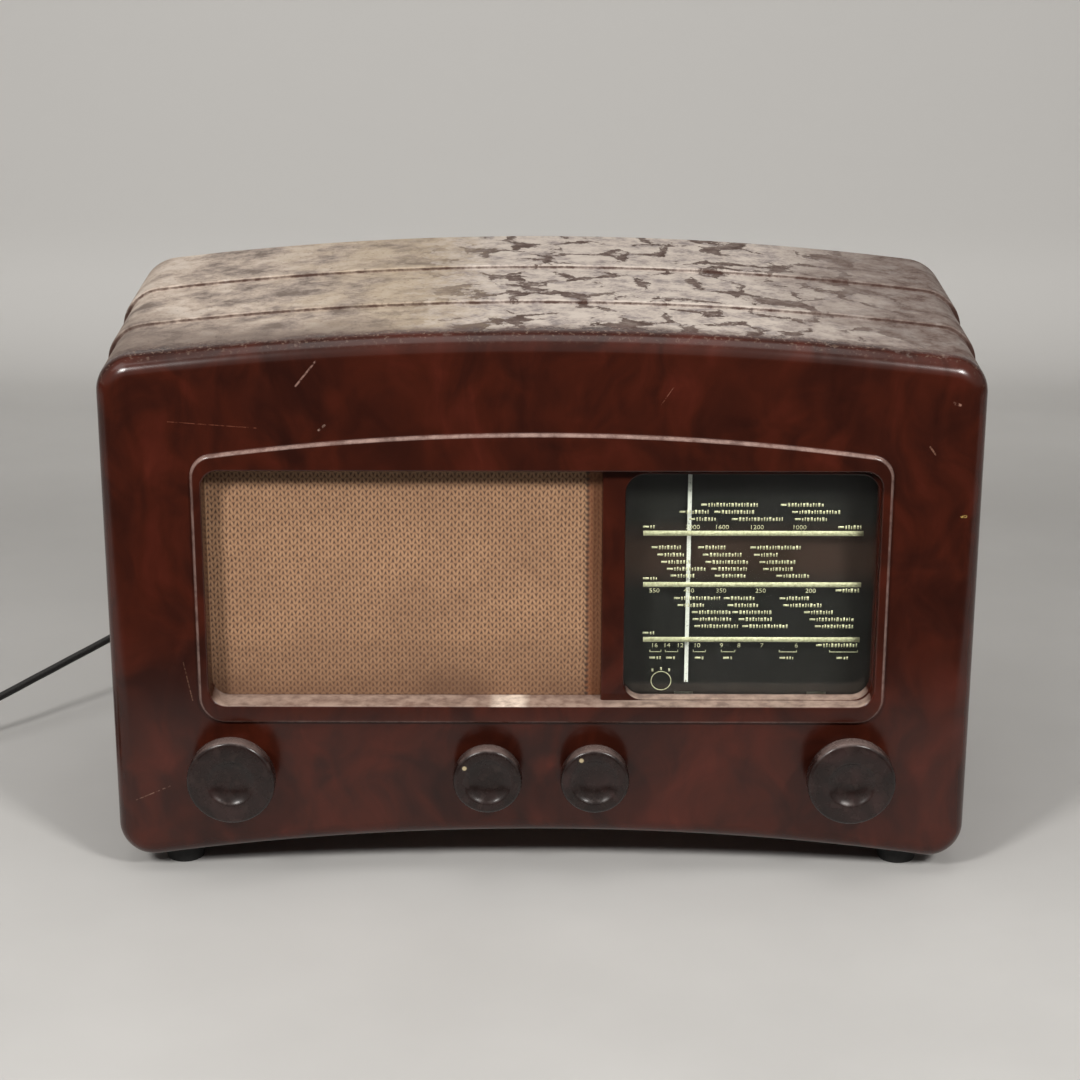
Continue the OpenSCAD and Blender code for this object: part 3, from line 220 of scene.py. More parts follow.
def frame_outline(g):
    """The raised frame round the opening, grown by g."""
    b = math.degrees(math.atan2(FRAME_CZ - FRAME_TOP_Z, FRAME_CX))
    x, z = FRAME_HALF - FRAME_TOE_R, FRAME_Z0 + FRAME_TOE_R
    return (arc(x, z, FRAME_TOE_R + g, -90, 0, 14) + arc(FRAME_CX, FRAME_CZ, FRAME_CORNER_R + g, 0, b, 14, False)
            + arc(0, FRAME_TOP_Z, FRAME_R + g, b, 180 - b, 56, False)
            + arc(-FRAME_CX, FRAME_CZ, FRAME_CORNER_R + g, 180 - b, 180, 14)
            + arc(-x, z, FRAME_TOE_R + g, 180, 270, 14))


def round_rect(x, z, r, g=0.0, n=12):
    """A rectangle between two x and two z with corners of radius r, grown by g."""
    return (arc(x[1] - r, z[0] + r, r + g, -90, 0, n) + arc(x[1] - r, z[1] - r, r + g, 0, 90, n)
            + arc(x[0] + r, z[1] - r, r + g, 90, 180, n) + arc(x[0] + r, z[0] + r, r + g, 180, 270, n))


def rect(x, z, g=0.0):
    return [(x[0] - g, z[0] - g), (x[1] + g, z[0] - g), (x[1] + g, z[1] + g), (x[0] - g, z[1] + g)]


def at_depth(y, points):
    return [(x, y + FRONT_Y, z) for x, z in points]


class Solid:
    """Points and faces that become one mesh; all its solids are closed."""

    def __init__(self):
        self.points, self.faces = [], []

    def loft(self, rings, caps=True):
        start, n = len(self.points), len(rings[0])
        for ring in rings:
            self.points += ring
        for i in range(len(rings) - 1):
            for j in range(n):
                a, b = start + i * n + j, start + i * n + (j + 1) % n
                self.faces.append((a, b, b + n, a + n))
        if caps:
            self.faces.append(tuple(start + j for j in range(n))[::-1])
            self.faces.append(tuple(start + (len(rings) - 1) * n + j for j in range(n)))
        return self

    def slab(self, y0, y1, points):
        return self.loft([at_depth(y0, points), at_depth(y1, points)])

    def rod(self, x, z, y0, y1, r, n=32):
        return self.slab(y0, y1, arc(x, z, r, 0, 360, n, False))

    def post(self, x, y, z0, z1, r, n=40):
        ring = arc(x, y + FRONT_Y, r, 0, 360, n, False)
        return self.loft([[(px, py, z) for px, py in ring] for z in (z0, z1)])

    def turned(self, x, z, profile, n=96, back=0.0):
        """A piece turned about the line along y through x, z. The profile is of (radius, y), and its ends are open or
        on the axis."""
        start, rows = len(self.points), []
        for r, y in profile:
            if r < 1e-6:
                rows.append([len(self.points)])
                self.points.append((x, y + FRONT_Y + back, z))
            else:
                rows.append(list(range(len(self.points), len(self.points) + n)))
                self.points += at_depth(y + back, arc(x, z, r, 0, 360, n, False))
        for low, high in zip(rows, rows[1:]):
            for j in range(n):
                quad = [low[j % len(low)], low[(j + 1) % len(low)], high[(j + 1) % len(high)], high[j % len(high)]]
                self.faces.append(tuple(dict.fromkeys(quad)))
        return self

    def make(self, name, sharp=35.0):
        mesh = bpy.data.meshes.new(name)
        mesh.from_pydata([(x * MM, y * MM, z * MM) for x, y, z in self.points], [], self.faces)
        piece = bpy.data.objects.new(name, mesh)
        bpy.context.scene.collection.objects.link(piece)
        tidy(mesh)
        smooth(mesh, sharp)
        return piece


def tidy(mesh, merge=1e-7):
    form = bmesh.new()
    form.from_mesh(mesh)
    bmesh.ops.remove_doubles(form, verts=form.verts, dist=merge)
    bmesh.ops.recalc_face_normals(form, faces=form.faces)
    form.to_mesh(mesh)
    form.free()


def smooth(mesh, sharp):
    mesh.shade_smooth()
    mesh.set_sharp_from_angle(angle=math.radians(sharp))


def carve(piece, other, operation):
    """Joins other to piece, or cuts it out, for good."""
    step = piece.modifiers.new("carve", "BOOLEAN")
    step.operation, step.solver, step.object = operation, "EXACT", other
    bpy.context.view_layer.update()
    graph = bpy.context.evaluated_depsgraph_get()
    made = bpy.data.meshes.new_from_object(piece.evaluated_get(graph))
    piece.modifiers.remove(step)
    old = piece.data
    piece.data = made
    bpy.data.meshes.remove(old)
    bpy.data.objects.remove(other)


def even_shading(piece):
    step = piece.modifiers.new("even_shading", "WEIGHTED_NORMAL")
    step.keep_sharp, step.weight = True, 60


# ---------------------------------------------------------------- moulded case

def build_case():
    block = [at_depth(EDGE_R * (1 - math.cos(t)), outline(-EDGE_R * (1 - math.sin(t))))
             for t in [math.radians(7.5 * k) for k in range(13)]]
    for y, g in ((BAND_1, 0.0), (BAND_2, STEP_OUT)):
        block += [at_depth(y + dy, outline(g + dg)) for dy, dg in (
            (-0.7, 0), (-0.2, 0.12), (0, 0.6), (0, 1.4), (0.1, 1.8), (0.4, 2.2), (1.0, STEP_OUT))]
    block += [at_depth(DEPTH + dy, outline(2 * STEP_OUT + dg)) for dy, dg in ((-1.5, 0), (-0.44, -0.44), (0, -1.5))]
    case = Solid().loft(block).make("moulded_case")

    hollow = []
    for y0, y1, g in ((WALL, BAND_1 + WALL, 0), (BAND_1 + WALL, BAND_2 + WALL, STEP_OUT),
                      (BAND_2 + WALL, DEPTH + 1, 2 * STEP_OUT)):
        hollow += [at_depth(y, upper_outline(g - WALL, FLOOR_TOP)) for y in (y0, y1)]
    carve(case, Solid().loft(hollow).make("hollow"), "DIFFERENCE")
    carve(case, Solid().slab(WALL, DEPTH - WALL, lower_outline()).make("under_floor"), "DIFFERENCE")

    soft = FRAME_PROUD - 0.6
    rim = [(-0.6 - soft * math.sin(math.radians(15 * k)), -soft * (1 - math.cos(math.radians(15 * k))))
           for k in range(6, -1, -1)] + [(-0.18, 0.18), (0.0, 0.6), (1.0, 0.6)]
    carve(case, Solid().loft([at_depth(y, frame_outline(g)) for y, g in rim]).make("raised_frame"), "UNION")

    reveal = round_rect((OPEN_X[0] - REVEAL, OPEN_X[1] + REVEAL), (OPEN_Z[0] - REVEAL, OPEN_Z[1] + REVEAL),
                        OPEN_R + REVEAL)
    inner = Solid().slab(WALL - 1, RECESS, reveal)
    for x, z in BAFFLE_POSTS:
        inner.rod(x, z, WALL - 1, 14.3, 5)
    for x, z in CLIP_POSTS:
        inner.rod(x, z, WALL - 1, 16, 4)
    for x, y in FEET:
        inner.post(x, y, 12, FLOOR_Z + 1, FOOT_POST_R)
    for s in (-1, 1):
        for z in LUG_Z:
            x = sorted((s * (INNER_HALF + 1), s * (INNER_HALF - 2 * LUG)))
            inner.slab(BACK_Y - LUG_DEEP, BACK_Y, rect(x, (z - LUG, z + LUG)))
        across = [s * LUG_X + d for d in (LUG, LUG / 2, 0, -LUG / 2, -LUG)]
        arch = [(x, CROWN_Z + math.sqrt((INNER_R + 1) ** 2 - x ** 2)) for x in across]
        low = [(s * LUG_X - LUG, LUG_TOP - LUG), (s * LUG_X + LUG, LUG_TOP - LUG)]
        inner.slab(BACK_Y - LUG_DEEP, BACK_Y, low + arch)
    carve(case, inner.make("inner_forms"), "UNION")

    mouth = [(-20, 1.2)] + [(-1.3 - 1.2 * math.cos(math.radians(t)), 1.2 - 1.2 * math.sin(math.radians(t)))
                            for t in (0, 22, 45, 67, 90)] + [(RECESS + 1, 0)]
    opening = Solid().loft([at_depth(y, round_rect(OPEN_X, OPEN_Z, OPEN_R, g)) for y, g in mouth])
    carve(case, opening.make("opening"), "DIFFERENCE")

    panel = Solid().loft([at_depth(y, rect((DIVIDER_X, 175), (97, 229), g))
                          for y, g in ((PANEL, -1.3), (PANEL + 0.38, -0.38), (PANEL + 1.3, 0), (RECESS - 0.02, 0))])
    panel = panel.make("divider_panel")
    lip = [(PANEL - 5, 1.0), (PANEL, 1.0), (PANEL + 0.3, 0.3), (PANEL + 1.0, 0), (RECESS + 1, 0)]
    dial_mouth = Solid().loft([at_depth(y, round_rect(DIAL_X, DIAL_Z, DIAL_R, g)) for y, g in lip])
    carve(panel, dial_mouth.make("dial_mouth"), "DIFFERENCE")
    carve(case, panel, "UNION")

    holes = Solid()
    for x in (-LARGE_X, -SMALL_X, SMALL_X, LARGE_X):
        holes.rod(x, KNOB_Z, -10, 9, 6)
    for x, z in BAFFLE_POSTS:
        holes.rod(x, z, 6, 16, PILOT_R, 20)
    for x, z in CLIP_POSTS:
        holes.rod(x, z, 6, 18, 1.4, 20)
    for x, y in FEET:
        holes.post(x, y, 11, FLOOR_TOP + 1, 4.1, 24)
    for x, y in BOLTS:
        holes.post(x, y, FLOOR_Z - 1, FLOOR_TOP + 1, 2.8, 20)
    for x, z in LUG_HOLES:
        holes.rod(x, z, BACK_Y - 10, BACK_Y + 1, PILOT_R, 20)
    holes.loft([[(x, y + FRONT_Y, z) for x, y in rect(HATCH_X, HATCH_Y)] for z in (FLOOR_Z - 1, FLOOR_TOP + 1)])
    for x, y in HATCH_SCREWS:
        holes.post(x, y, FLOOR_Z - 1, FLOOR_TOP + 1, PILOT_R, 20)
    carve(case, holes.make("holes"), "DIFFERENCE")
    tidy(case.data)
    smooth(case.data, 32)
    even_shading(case)
    return case


# ---------------------------------------------------------------- grille cloth

def build_cloth():
    """The cloth behind the opening, stretched, with the slight waves of an old one."""
    x, z, nx, nz = CLOTH_X, CLOTH_Z, 124, 78
    cloth = Solid()
    for j in range(nz + 1):
        for i in range(nx + 1):
            px, pz = x[0] + (x[1] - x[0]) * i / nx, z[0] + (z[1] - z[0]) * j / nz
            wave = 0.18 * math.sin(px / 21 + 0.6 * math.sin(pz / 17)) + 0.1 * math.sin(pz / 13 + px / 40)
            cloth.points.append((px, CLOTH_Y + wave + FRONT_Y, pz))
    for j in range(nz):
        for i in range(nx):
            a = j * (nx + 1) + i
            cloth.faces.append((a, a + 1, a + nx + 2, a + nx + 1))
    return cloth.make("grille_weave", 80)


# ---------------------------------------------------------------- knobs

def knob_profile(r, reach, dish, grip=9.0, lip=2.2, back=1.6):
    """Radius and depth from the collar at the case to the middle of the dished face."""
    h = reach - back
    collar = r * 0.66
    side = [(3.23, h - 5), (3.23, 0), (collar - 0.5, 0), (collar, 0.5), (collar, h - grip - 0.5),
            (collar + 0.5, h - grip), (r - 1.2, h - grip), (r - 0.35, h - grip + 0.35), (r, h - grip + 1.2)]
    face = [(r - lip + lip * math.cos(math.radians(a)), h - lip + lip * math.sin(math.radians(a)))
            for a in range(0, 91, 10)]
    drop = 0.16  # from the face to the rim of the dish
    edge = [(dish + 0.8, h), (dish + 0.35, h - drop / 4), (dish, h - drop)]
    bowl = [(dish * t, h - DISH_DEEP * (1 - t ** 3) - drop * t) for t in [1 - k / 16 for k in range(1, 16)]]
    return [(a, -back - b) for a, b in side + face + edge + bowl + [(0, h - DISH_DEEP)]]


def build_knob(name, x, size):
    return Solid().turned(x, KNOB_Z, knob_profile(*size)).make(name, 50)


# ---------------------------------------------------------------- dial print

def number_shapes(marks, text, x, z, height):
    """A plain number, centred on x with its foot on z, from Blender's own typeface."""
    letters = bpy.data.curves.new("number", "FONT")
    letters.body, letters.align_x, letters.resolution_u = text, "CENTER", 3
    holder = bpy.data.objects.new("number", letters)
    bpy.context.scene.collection.objects.link(holder)
    bpy.context.view_layer.update()
    mesh = bpy.data.meshes.new_from_object(holder.evaluated_get(bpy.context.evaluated_depsgraph_get()))
    start, size, wide = len(marks.points), height / 0.69, 1.12  # a digit is 0.69 of the type's size tall
    marks.points += at_depth(PRINT_Y, [(x + v.co.x * size * wide, z + v.co.y * size) for v in mesh.vertices])
    marks.faces += [tuple(start + i for i in face.vertices) for face in mesh.polygons]
    bpy.data.objects.remove(holder)
    bpy.data.meshes.remove(mesh)


def bar(marks, x0, x1, z0, z1):
    start = len(marks.points)
    marks.points += at_depth(PRINT_Y, ((x0, z0), (x1, z0), (x1, z1), (x0, z1)))
    marks.faces.append((start, start + 1, start + 2, start + 3))


def station_row(marks, z, spans, height=2.1):
    """Bare station places: a tuning block, then short strokes where the maker printed names."""
    for k, (x0, x1) in enumerate(spans):
        bar(marks, x0, x0 + 3.0, z - 0.55, z + 0.55)
        x, i = x0 + 3.7, k
        while x < x1 - 0.5:
            i += 1
            width = (1.25, 0.95, 1.4, 1.1, 0.8)[(i * 3 + k) % 5]
            tall = (1.0, 0.9, 1.0, 0.8)[(i + 2 * k) % 4] * height
            bar(marks, x, min(x + width - 0.25, x1), z - height / 2, z - height / 2 + tall)
            x += width + 0.45


def build_dial_print():
    """Three scale bars with rows of station places between them, plain numbers, and a ring with three marks."""
    marks = Solid()
    for x0, x1, z0, z1 in ((52.5, 166.3, 187.2, 189.9), (52.8, 166.2, 159.0, 161.7), (53.2, 166.7, 128.4, 131.1)):
        bar(marks, x0, x1, z0, z1)
    rows = {
        204.1: [(82, 112), (123, 145.5)], 200.2: [(71, 86), (89, 110), (129, 154)],
        196.3: [(76, 90), (98, 125), (130.5, 147)],
        180.8: [(57, 72), (81, 95), (108, 134)], 176.8: [(60, 74), (83.5, 103.5), (110, 123)],
        172.8: [(62, 78), (85, 107), (113, 132)], 169.0: [(65, 85), (88, 107), (115, 131)],
        165.2: [(67, 80), (90, 107), (122, 139)],
        152.8: [(69, 93), (95, 111), (124, 140)], 148.9: [(71, 85), (97, 113), (126, 146.5)],
        145.0: [(78.5, 98.6), (99.6, 120), (137, 152)], 141.1: [(79, 99), (103, 121), (140, 164)],
        137.2: [(80, 103), (105, 129), (143, 163.5)]}
    for z, spans in rows.items():
        station_row(marks, z, spans)
    for z, places in (
            (190.8, ((78, "2000"), (93, "1600"), (111, "1200"), (133, "1000"))),
            (155.9, ((58.7, "550"), (76.7, "450"), (93.4, "350"), (114, "250"), (140, "200"))),
            (125.3, ((59.2, "16"), (65.7, "14"), (72.7, "12"), (81.5, "10"), (94.4, "9"), (103.5, "8"),
                     (115.5, "7"), (133.6, "6")))):
        for x, text in places:
            number_shapes(marks, text, x, z, 2.3)
    for x0, x1, z in ((153, 165, 192.0), (153, 166, 157.2), (144, 166.5, 126.6)):
        station_row(marks, z, [(x0, x1)], 2.2)
    for x0, x1, z in ((52.3, 58.6, 192.0), (52.7, 60, 163.7), (53, 59.6, 133.4)):
        station_row(marks, z, [(x0, x1)], 1.7)
    for x0, x1 in ((56.7, 62.9), (64.8, 71.7), (79.5, 86.2), (94.2, 101.6), (124.6, 134), (151, 166)):
        bar(marks, x0, x1, 122.6, 123.0)
        bar(marks, x0, x0 + 0.35, 122.6, 123.9)
        bar(marks, x1 - 0.35, x1, 122.6, 123.9)
    for x0, x1 in ((56.7, 63), (65.5, 71), (80.5, 85.5), (95.5, 100.5), (125, 132.6), (155, 161.6)):
        station_row(marks, 119.4, [(x0, x1)], 1.7)
    start, n = len(marks.points), 40
    for r in (5.0, 5.45):
        marks.points += at_depth(PRINT_Y, arc(63, 106.4, r, 0, 360, n, False))
    marks.faces += [(start + j, start + (j + 1) % n, start + n + (j + 1) % n, start + n + j) for j in range(n)]
    for x, z in ((58.4, 112.4), (62.9, 113.2), (67.2, 112.5)):
        bar(marks, x - 0.5, x + 0.5, z - 0.8, z + 0.8)
    sheet = marks.make("dial_print", 80)
    thick = sheet.modifiers.new("ink", "SOLIDIFY")
    thick.thickness, thick.offset = 0.00003, 0
    return sheet


# ---------------------------------------------------------------- lead's end pieces and back fittings

def plug_ring(z, inset):
    """The plug's outline seen from above, narrow at the lead, with rounded corners."""
    corners = [Vector(c) for c in ((-18, 0), (18, 0), (25, -14), (25, -50), (-25, -50), (-25, -14))]
    middle, r, ring = Vector((0, -26)), 4.0, []
    for i, here in enumerate(corners):
        a, b = (corners[i - 1] - here).normalized(), (corners[(i + 1) % 6] - here).normalized()
        for t in [k / 5 for k in range(6)]:
            d = here + a * r * (1 - t) ** 2 + b * r * t ** 2 - middle
            ring.append((PLUG_X + middle.x + d.x * (1 - inset / 24), PLUG_Y + middle.y + d.y * (1 - inset / 24), z))
    return ring


def build_plug():
    rings = [(0, 1.2), (0.35, 0.35), (1.2, 0), (9.1, 0), (9.7, 0.6), (10.3, 0.6), (10.9, 0), (17.5, 0.2),
             (19.0, 0.7), (19.75, 1.6), (20, 3)]
    return Solid().loft([plug_ring(z, inset) for z, inset in rings]).make("plug_shell", 40)


def build_grommet():
    """The rubber sleeve round the lead at the back cover, ribbed so that it bends."""
    profile = [(0, 179), (6, 179), (6, 182), (9, 182), (9, 184.6), (8.4, 185), (6, 185), (5.9, 201.6)]
    y, r = 202.0, 5.75
    while y < 226:
        profile += [(r, y), (r, y + 1.7), (r - 0.9, y + 2.0), (r - 0.9, y + 2.9)]
        y += 3.2
        r -= 0.32
    profile += [(r - 0.1, y), (3.25, 229.2), (2.9, 229.5), (0, 229.5)]
    return Solid().turned(LEAD_X, LEAD_Z, profile, 48).make("lead_sleeve", 40)


def slotted_head(solid, centre, axis_up, axis_side, r, tall):
    """A domed screw head with a slot, from a grid of rings; axis_up points out of the head."""
    up, side = Vector(axis_up), Vector(axis_side)
    other = up.cross(side)
    start, n, rows = len(solid.points), 32, 9
    c = Vector(centre)
    solid.points.append(tuple(c + up * (tall * 0.55)))
    for i in range(1, rows):
        q = r * min(1.0, i / (rows - 2))
        for j in range(n):
            a = 2 * math.pi * j / n
            u, v = q * math.cos(a), q * math.sin(a)
            h = tall * (1 - 0.35 * (q / r) ** 2) if i < rows - 1 else 0.0
            if abs(v) < r * 0.13 and i < rows - 1:
                h = tall * 0.55
            solid.points.append(tuple(c + side * u + other * v + up * h))
    for j in range(n):
        solid.faces.append((start, start + 1 + j, start + 1 + (j + 1) % n))
    for i in range(rows - 2):
        for j in range(n):
            a, b = start + 1 + i * n + j, start + 1 + i * n + (j + 1) % n
            solid.faces.append((a, a + n, b + n, b))
    last = start + 1 + (rows - 2) * n
    solid.faces.append(tuple(last + j for j in range(n)))


def build_back_screws():
    heads = Solid()
    for i, (x, z) in enumerate(LUG_HOLES):
        turn = math.radians(37 * i + 12)
        slotted_head(heads, (x, 201.5 + FRONT_Y, z), (0, 1, 0), (math.cos(turn), 0, math.sin(turn)), 3.6, 2.0)
        heads.rod(x, z, 190.5, 201.6, SCREW_R, 16)
    return heads.make("back_cover_screws", 40)


def build_bottom_screws():
    heads = Solid()
    for i, (x, y) in enumerate(HATCH_SCREWS):
        turn = math.radians(51 * i + 20)
        slotted_head(heads, (x, y + FRONT_Y, 25), (0, 0, -1), (math.cos(turn), math.sin(turn), 0), 3.4, 2.0)
        heads.post(x, y, 24.9, 31.5, SCREW_R, 16)
    return heads.make("hatch_screws", 40)


case = build_case()
cloth = build_cloth()
knobs = {name: build_knob(name + "_knob_face", x, size) for name, x, size in (
    ("volume", -LARGE_X, LARGE_KNOB), ("tuning", LARGE_X, LARGE_KNOB), ("tone", -SMALL_X, SMALL_KNOB),
    ("wave", SMALL_X, SMALL_KNOB))}
dial_print = build_dial_print()
plug = build_plug()
sleeve = build_grommet()
back_screws = build_back_screws()
bottom_screws = build_bottom_screws()


# ---------------------------------------------------------------- finishes

def linear(code):
    """An sRGB hex colour as the linear one that shaders take."""
    parts = [int(code[i:i + 2], 16) / 255 for i in (1, 3, 5)]
    return tuple(c / 12.92 if c <= 0.04045 else ((c + 0.055) / 1.055) ** 2.4 for c in parts) + (1.0,)


def add(tree, kind, links=None, ramp=None, **settings):
    """Adds one node. links sets or joins its sockets, by name or number; settings are its own options."""
    node = tree.nodes.new("ShaderNode" + kind)
    for name, value in settings.items():
        setattr(node, name, value)
    if ramp:
        stops = node.color_ramp.elements
        stops.remove(stops[1])
        for i, (at, code) in enumerate(ramp):
            stop = stops.new(at) if i else stops[0]
            stop.position, stop.color = at, linear(code)
    for name, value in (links or {}).items():
        socket = node.inputs[name] if isinstance(name, int) else next(
            s for s in node.inputs if s.enabled and s.name == name)
        if isinstance(value, bpy.types.Node):
            value = next(s for s in value.outputs if s.enabled)
        if isinstance(value, bpy.types.NodeSocket):
            tree.links.new(value, socket)
        else:
            socket.default_value = linear(value) if isinstance(value, str) else value
    return node


def start_finish(name, roughness=0.5, metallic=0.0, ior=None, **sockets):
    """A new material, its shader with its own constants, and the place on the object in metres."""
    material = bpy.data.materials.new(name)
    material.use_nodes = True
    tree = material.node_tree
    shader = tree.nodes["Principled BSDF"]
    shader.inputs["Roughness"].default_value = roughness
    shader.inputs["Metallic"].default_value = metallic
    if ior:
        shader.inputs["IOR"].default_value = ior
    for socket, value in sockets.items():
        shader.inputs[socket.replace("_", " ")].default_value = value
    return material, tree, shader, add(tree, "TexCoord").outputs["Object"]


def per(mm):
    """The noise scale that gives grains about so many millimetres across."""
    return 1000.0 / mm


def join(tree, shader, **sockets):
    for name, value in sockets.items():
        if isinstance(value, bpy.types.Node):
            value = next(s for s in value.outputs if s.enabled)
        tree.links.new(value, shader.inputs[name.replace("_", " ")])


def patterned(name, pattern, stops, rough=None, bump=None, kind="TexNoise", stretch=None, options=None, **constants):
    """A finish that one pattern gives: its colours at the stops, and where they are given its roughness, from and to,
    and its bump, as strength and height. stretch scales the place before the pattern."""
    material, tree, shader, place = start_finish(name, **constants)
    if stretch:
        place = add(tree, "Mapping", {"Vector": place, "Scale": stretch})
    grain = add(tree, kind, {"Vector": place, **pattern}, **(options or {}))
    join(tree, shader, Base_Color=add(tree, "ValToRGB", {"Fac": grain}, ramp=stops))
    if rough:
        join(tree, shader, Roughness=add(tree, "MapRange", {"Value": grain, "To Min": rough[0], "To Max": rough[1]}))
    if bump:
        join(tree, shader, Normal=add(tree, "Bump", {"Strength": bump[0], "Distance": bump[1], "Height": grain}))
    return material


def stroke(tree, place, start, end, width, fade=0.25):
    """How far the front-view point is inside a scratch from start to end, 0 to 1; all in millimetres."""
    a = Vector((start[0] * MM, 0, start[1] * MM))
    d = Vector((end[0] * MM, 0, end[1] * MM)) - a
    flat = add(tree, "VectorMath", {0: place, 1: (1, 0, 1)}, operation="MULTIPLY")
    away = add(tree, "VectorMath", {0: flat, 1: a}, operation="SUBTRACT")
    along = add(tree, "VectorMath", {0: away, 1: d / d.length_squared}, operation="DOT_PRODUCT")
    held = add(tree, "Clamp", {"Value": along.outputs["Value"]})
    foot = add(tree, "VectorMath", {0: tuple(d), "Scale": held}, operation="SCALE")
    gap = add(tree, "VectorMath", {0: away, 1: foot}, operation="DISTANCE")
    return add(tree, "MapRange", {"Value": gap.outputs["Value"], "From Min": width * MM / 2 * (1 + fade),
                                  "From Max": width * MM / 2 * (1 - fade)})


def moulded_phenolic():
    """Phenolic moulded under heat in a polished steel tool: two powders flow into swirls of red in brown under
    one gloss, which has dulled with age. Years in a damp place have left a pale, cracked film on its top."""
    material, tree, shader, place = start_finish("moulded_phenolic", ior=1.5, Specular_IOR_Level=0.36)
    xyz = add(tree, "SeparateXYZ", {"Vector": place})
    x, z = xyz.outputs["X"], xyz.outputs["Z"]
    depth = add(tree, "Math", {0: xyz.outputs["Y"], 1: -FRONT_Y * MM}, operation="ADD")
    facing = add(tree, "SeparateXYZ", {"Vector": add(tree, "NewGeometry").outputs["Normal"]})

    # Grains that several things below share: the size in millimetres, the detail and the roughness of each
    fine, ragged, puffs, stain, patch, broad, sag = [
        add(tree, "TexNoise", {"Vector": place, "Scale": per(mm), "Detail": detail, "Roughness": rough})
        for mm, detail, rough in ((2.2, 4, 0.65), (7, 6, 0.7), (12, 5, 0.6), (13, 7, 0.75), (30, 5, 0.6),
                                  (45, 2, 0.5), (55, 2, 0.5))]

    # The flow of the moulding powder: swirls about 40 mm across and streaks about 14 mm wide
    drift = add(tree, "TexNoise", {"Vector": place, "Scale": per(75), "Detail": 2})
    shifted = add(tree, "VectorMath", {0: drift.outputs["Color"], 1: (0.07, 0.07, 0.07), 2: place},
                  operation="MULTIPLY_ADD")
    clouds = add(tree, "TexNoise", {"Vector": shifted, "W": 3.0, "Scale": per(40), "Detail": 4, "Distortion": 0.9},
                 noise_dimensions="4D")
    lean = add(tree, "Mapping", {"Vector": shifted, "Rotation": (0, math.radians(24), 0), "Scale": (1, 1, 0.22)})
    streaks = add(tree, "TexNoise", {"Vector": lean, "Scale": per(14), "Detail": 3, "Distortion": 0.5})
    flow = add(tree, "Mix", {0: 0.35, "A": clouds, "B": streaks}, data_type="FLOAT")
    brown = add(tree, "ValToRGB", {"Fac": flow}, ramp=[
        (0.36, "#2b110b"), (0.46, "#35150d"), (0.54, "#3e180e"), (0.62, "#461b11"), (0.7, "#502015")])

    # The pale film on the top, from about 14 mm behind the front edge; the steps' faces have kept less of it
    high = add(tree, "MapRange", {"Value": z, "From Min": 0.262, "From Max": 0.276})
    edge = add(tree, "Math", {0: ragged, 1: 0.024, 2: -0.006}, operation="MULTIPLY_ADD")
    edge = add(tree, "Math", {0: broad, 1: 0.016, 2: edge}, operation="MULTIPLY_ADD")
    behind = add(tree, "Math", {0: depth, 1: edge}, operation="SUBTRACT")
    film = add(tree, "MapRange", {"Value": behind, "From Min": -0.005, "From Max": 0.006})
    film = add(tree, "Math", {0: film, 1: high}, operation="MULTIPLY")

    # Plates of the film about 28 mm across on the middle and the right; the cracks between them are 1 to 6 mm wide
    crumble = add(tree, "VectorMath", {0: ragged.outputs["Color"], 1: (0.014, 0.014, 0.014), 2: place},
                  operation="MULTIPLY_ADD")
    cells = add(tree, "TexVoronoi", {"Vector": crumble, "Scale": per(28)}, feature="DISTANCE_TO_EDGE")
    gape = add(tree, "MapRange", {"Value": patch, "From Min": 0.36, "From Max": 0.56, "To Min": 0.15,
                                  "To Max": -0.035})
    plate = add(tree, "Math", {0: cells, 1: gape}, operation="SUBTRACT")
    plate = add(tree, "Math", {0: fine, 1: 0.12, 2: plate}, operation="MULTIPLY_ADD")
    plate = add(tree, "MapRange", {"Value": plate, "From Min": 0.05, "From Max": 0.085})
    tone = add(tree, "Mix", {0: 0.35, "A": puffs, "B": fine}, data_type="FLOAT")
    cream = add(tree, "ValToRGB", {"Fac": tone}, ramp=[
        (0.38, "#8d8380"), (0.44, "#a59a94"), (0.5, "#bbafa6"), (0.57, "#c8bdb3")])
    bare = add(tree, "ValToRGB", {"Fac": ragged}, ramp=[(0.36, "#45332b"), (0.5, "#60504a"), (0.64, "#80736b")])
    flaked = add(tree, "Mix", {0: plate, "A": bare, "B": cream}, data_type="RGBA")

    # On the left the film is closed: beige with ochre, greyer at the front corner, with fine brown specks
    mottle = add(tree, "Mix", {0: 0.5, "A": stain, "B": patch}, data_type="FLOAT")
    beige = add(tree, "ValToRGB", {"Fac": mottle}, ramp=[
        (0.4, "#75685f"), (0.45, "#968980"), (0.49, "#ab9c90"), (0.53, "#bbab9d"), (0.58, "#c9bcb0")])
    ochre = add(tree, "Math", {0: patch, 1: 0.25, 2: x}, operation="MULTIPLY_ADD")
    ochre = add(tree, "MapRange", {"Value": ochre, "From Min": -0.02, "From Max": 0.06, "To Max": 0.5})
    pits = add(tree, "MapRange", {"Value": fine, "From Min": 0.41, "From Max": 0.34, "To Max": 0.5})
    corner = add(tree, "Math", {0: depth, 1: add(tree, "Math", {0: x, 1: 0.35}, operation="MULTIPLY")},
                 operation="ADD")
    corner = add(tree, "Math", {0: broad, 1: 0.06, 2: corner}, operation="MULTIPLY_ADD")
    corner = add(tree, "MapRange", {"Value": corner, "From Min": 0.045, "From Max": 0.0, "To Max": 0.8})
    for share, code in ((ochre, "#a8967a"), (pits, "#604e45"), (corner, "#6f6159")):
        beige = add(tree, "Mix", {0: share, "A": beige, "B": code}, data_type="RGBA")

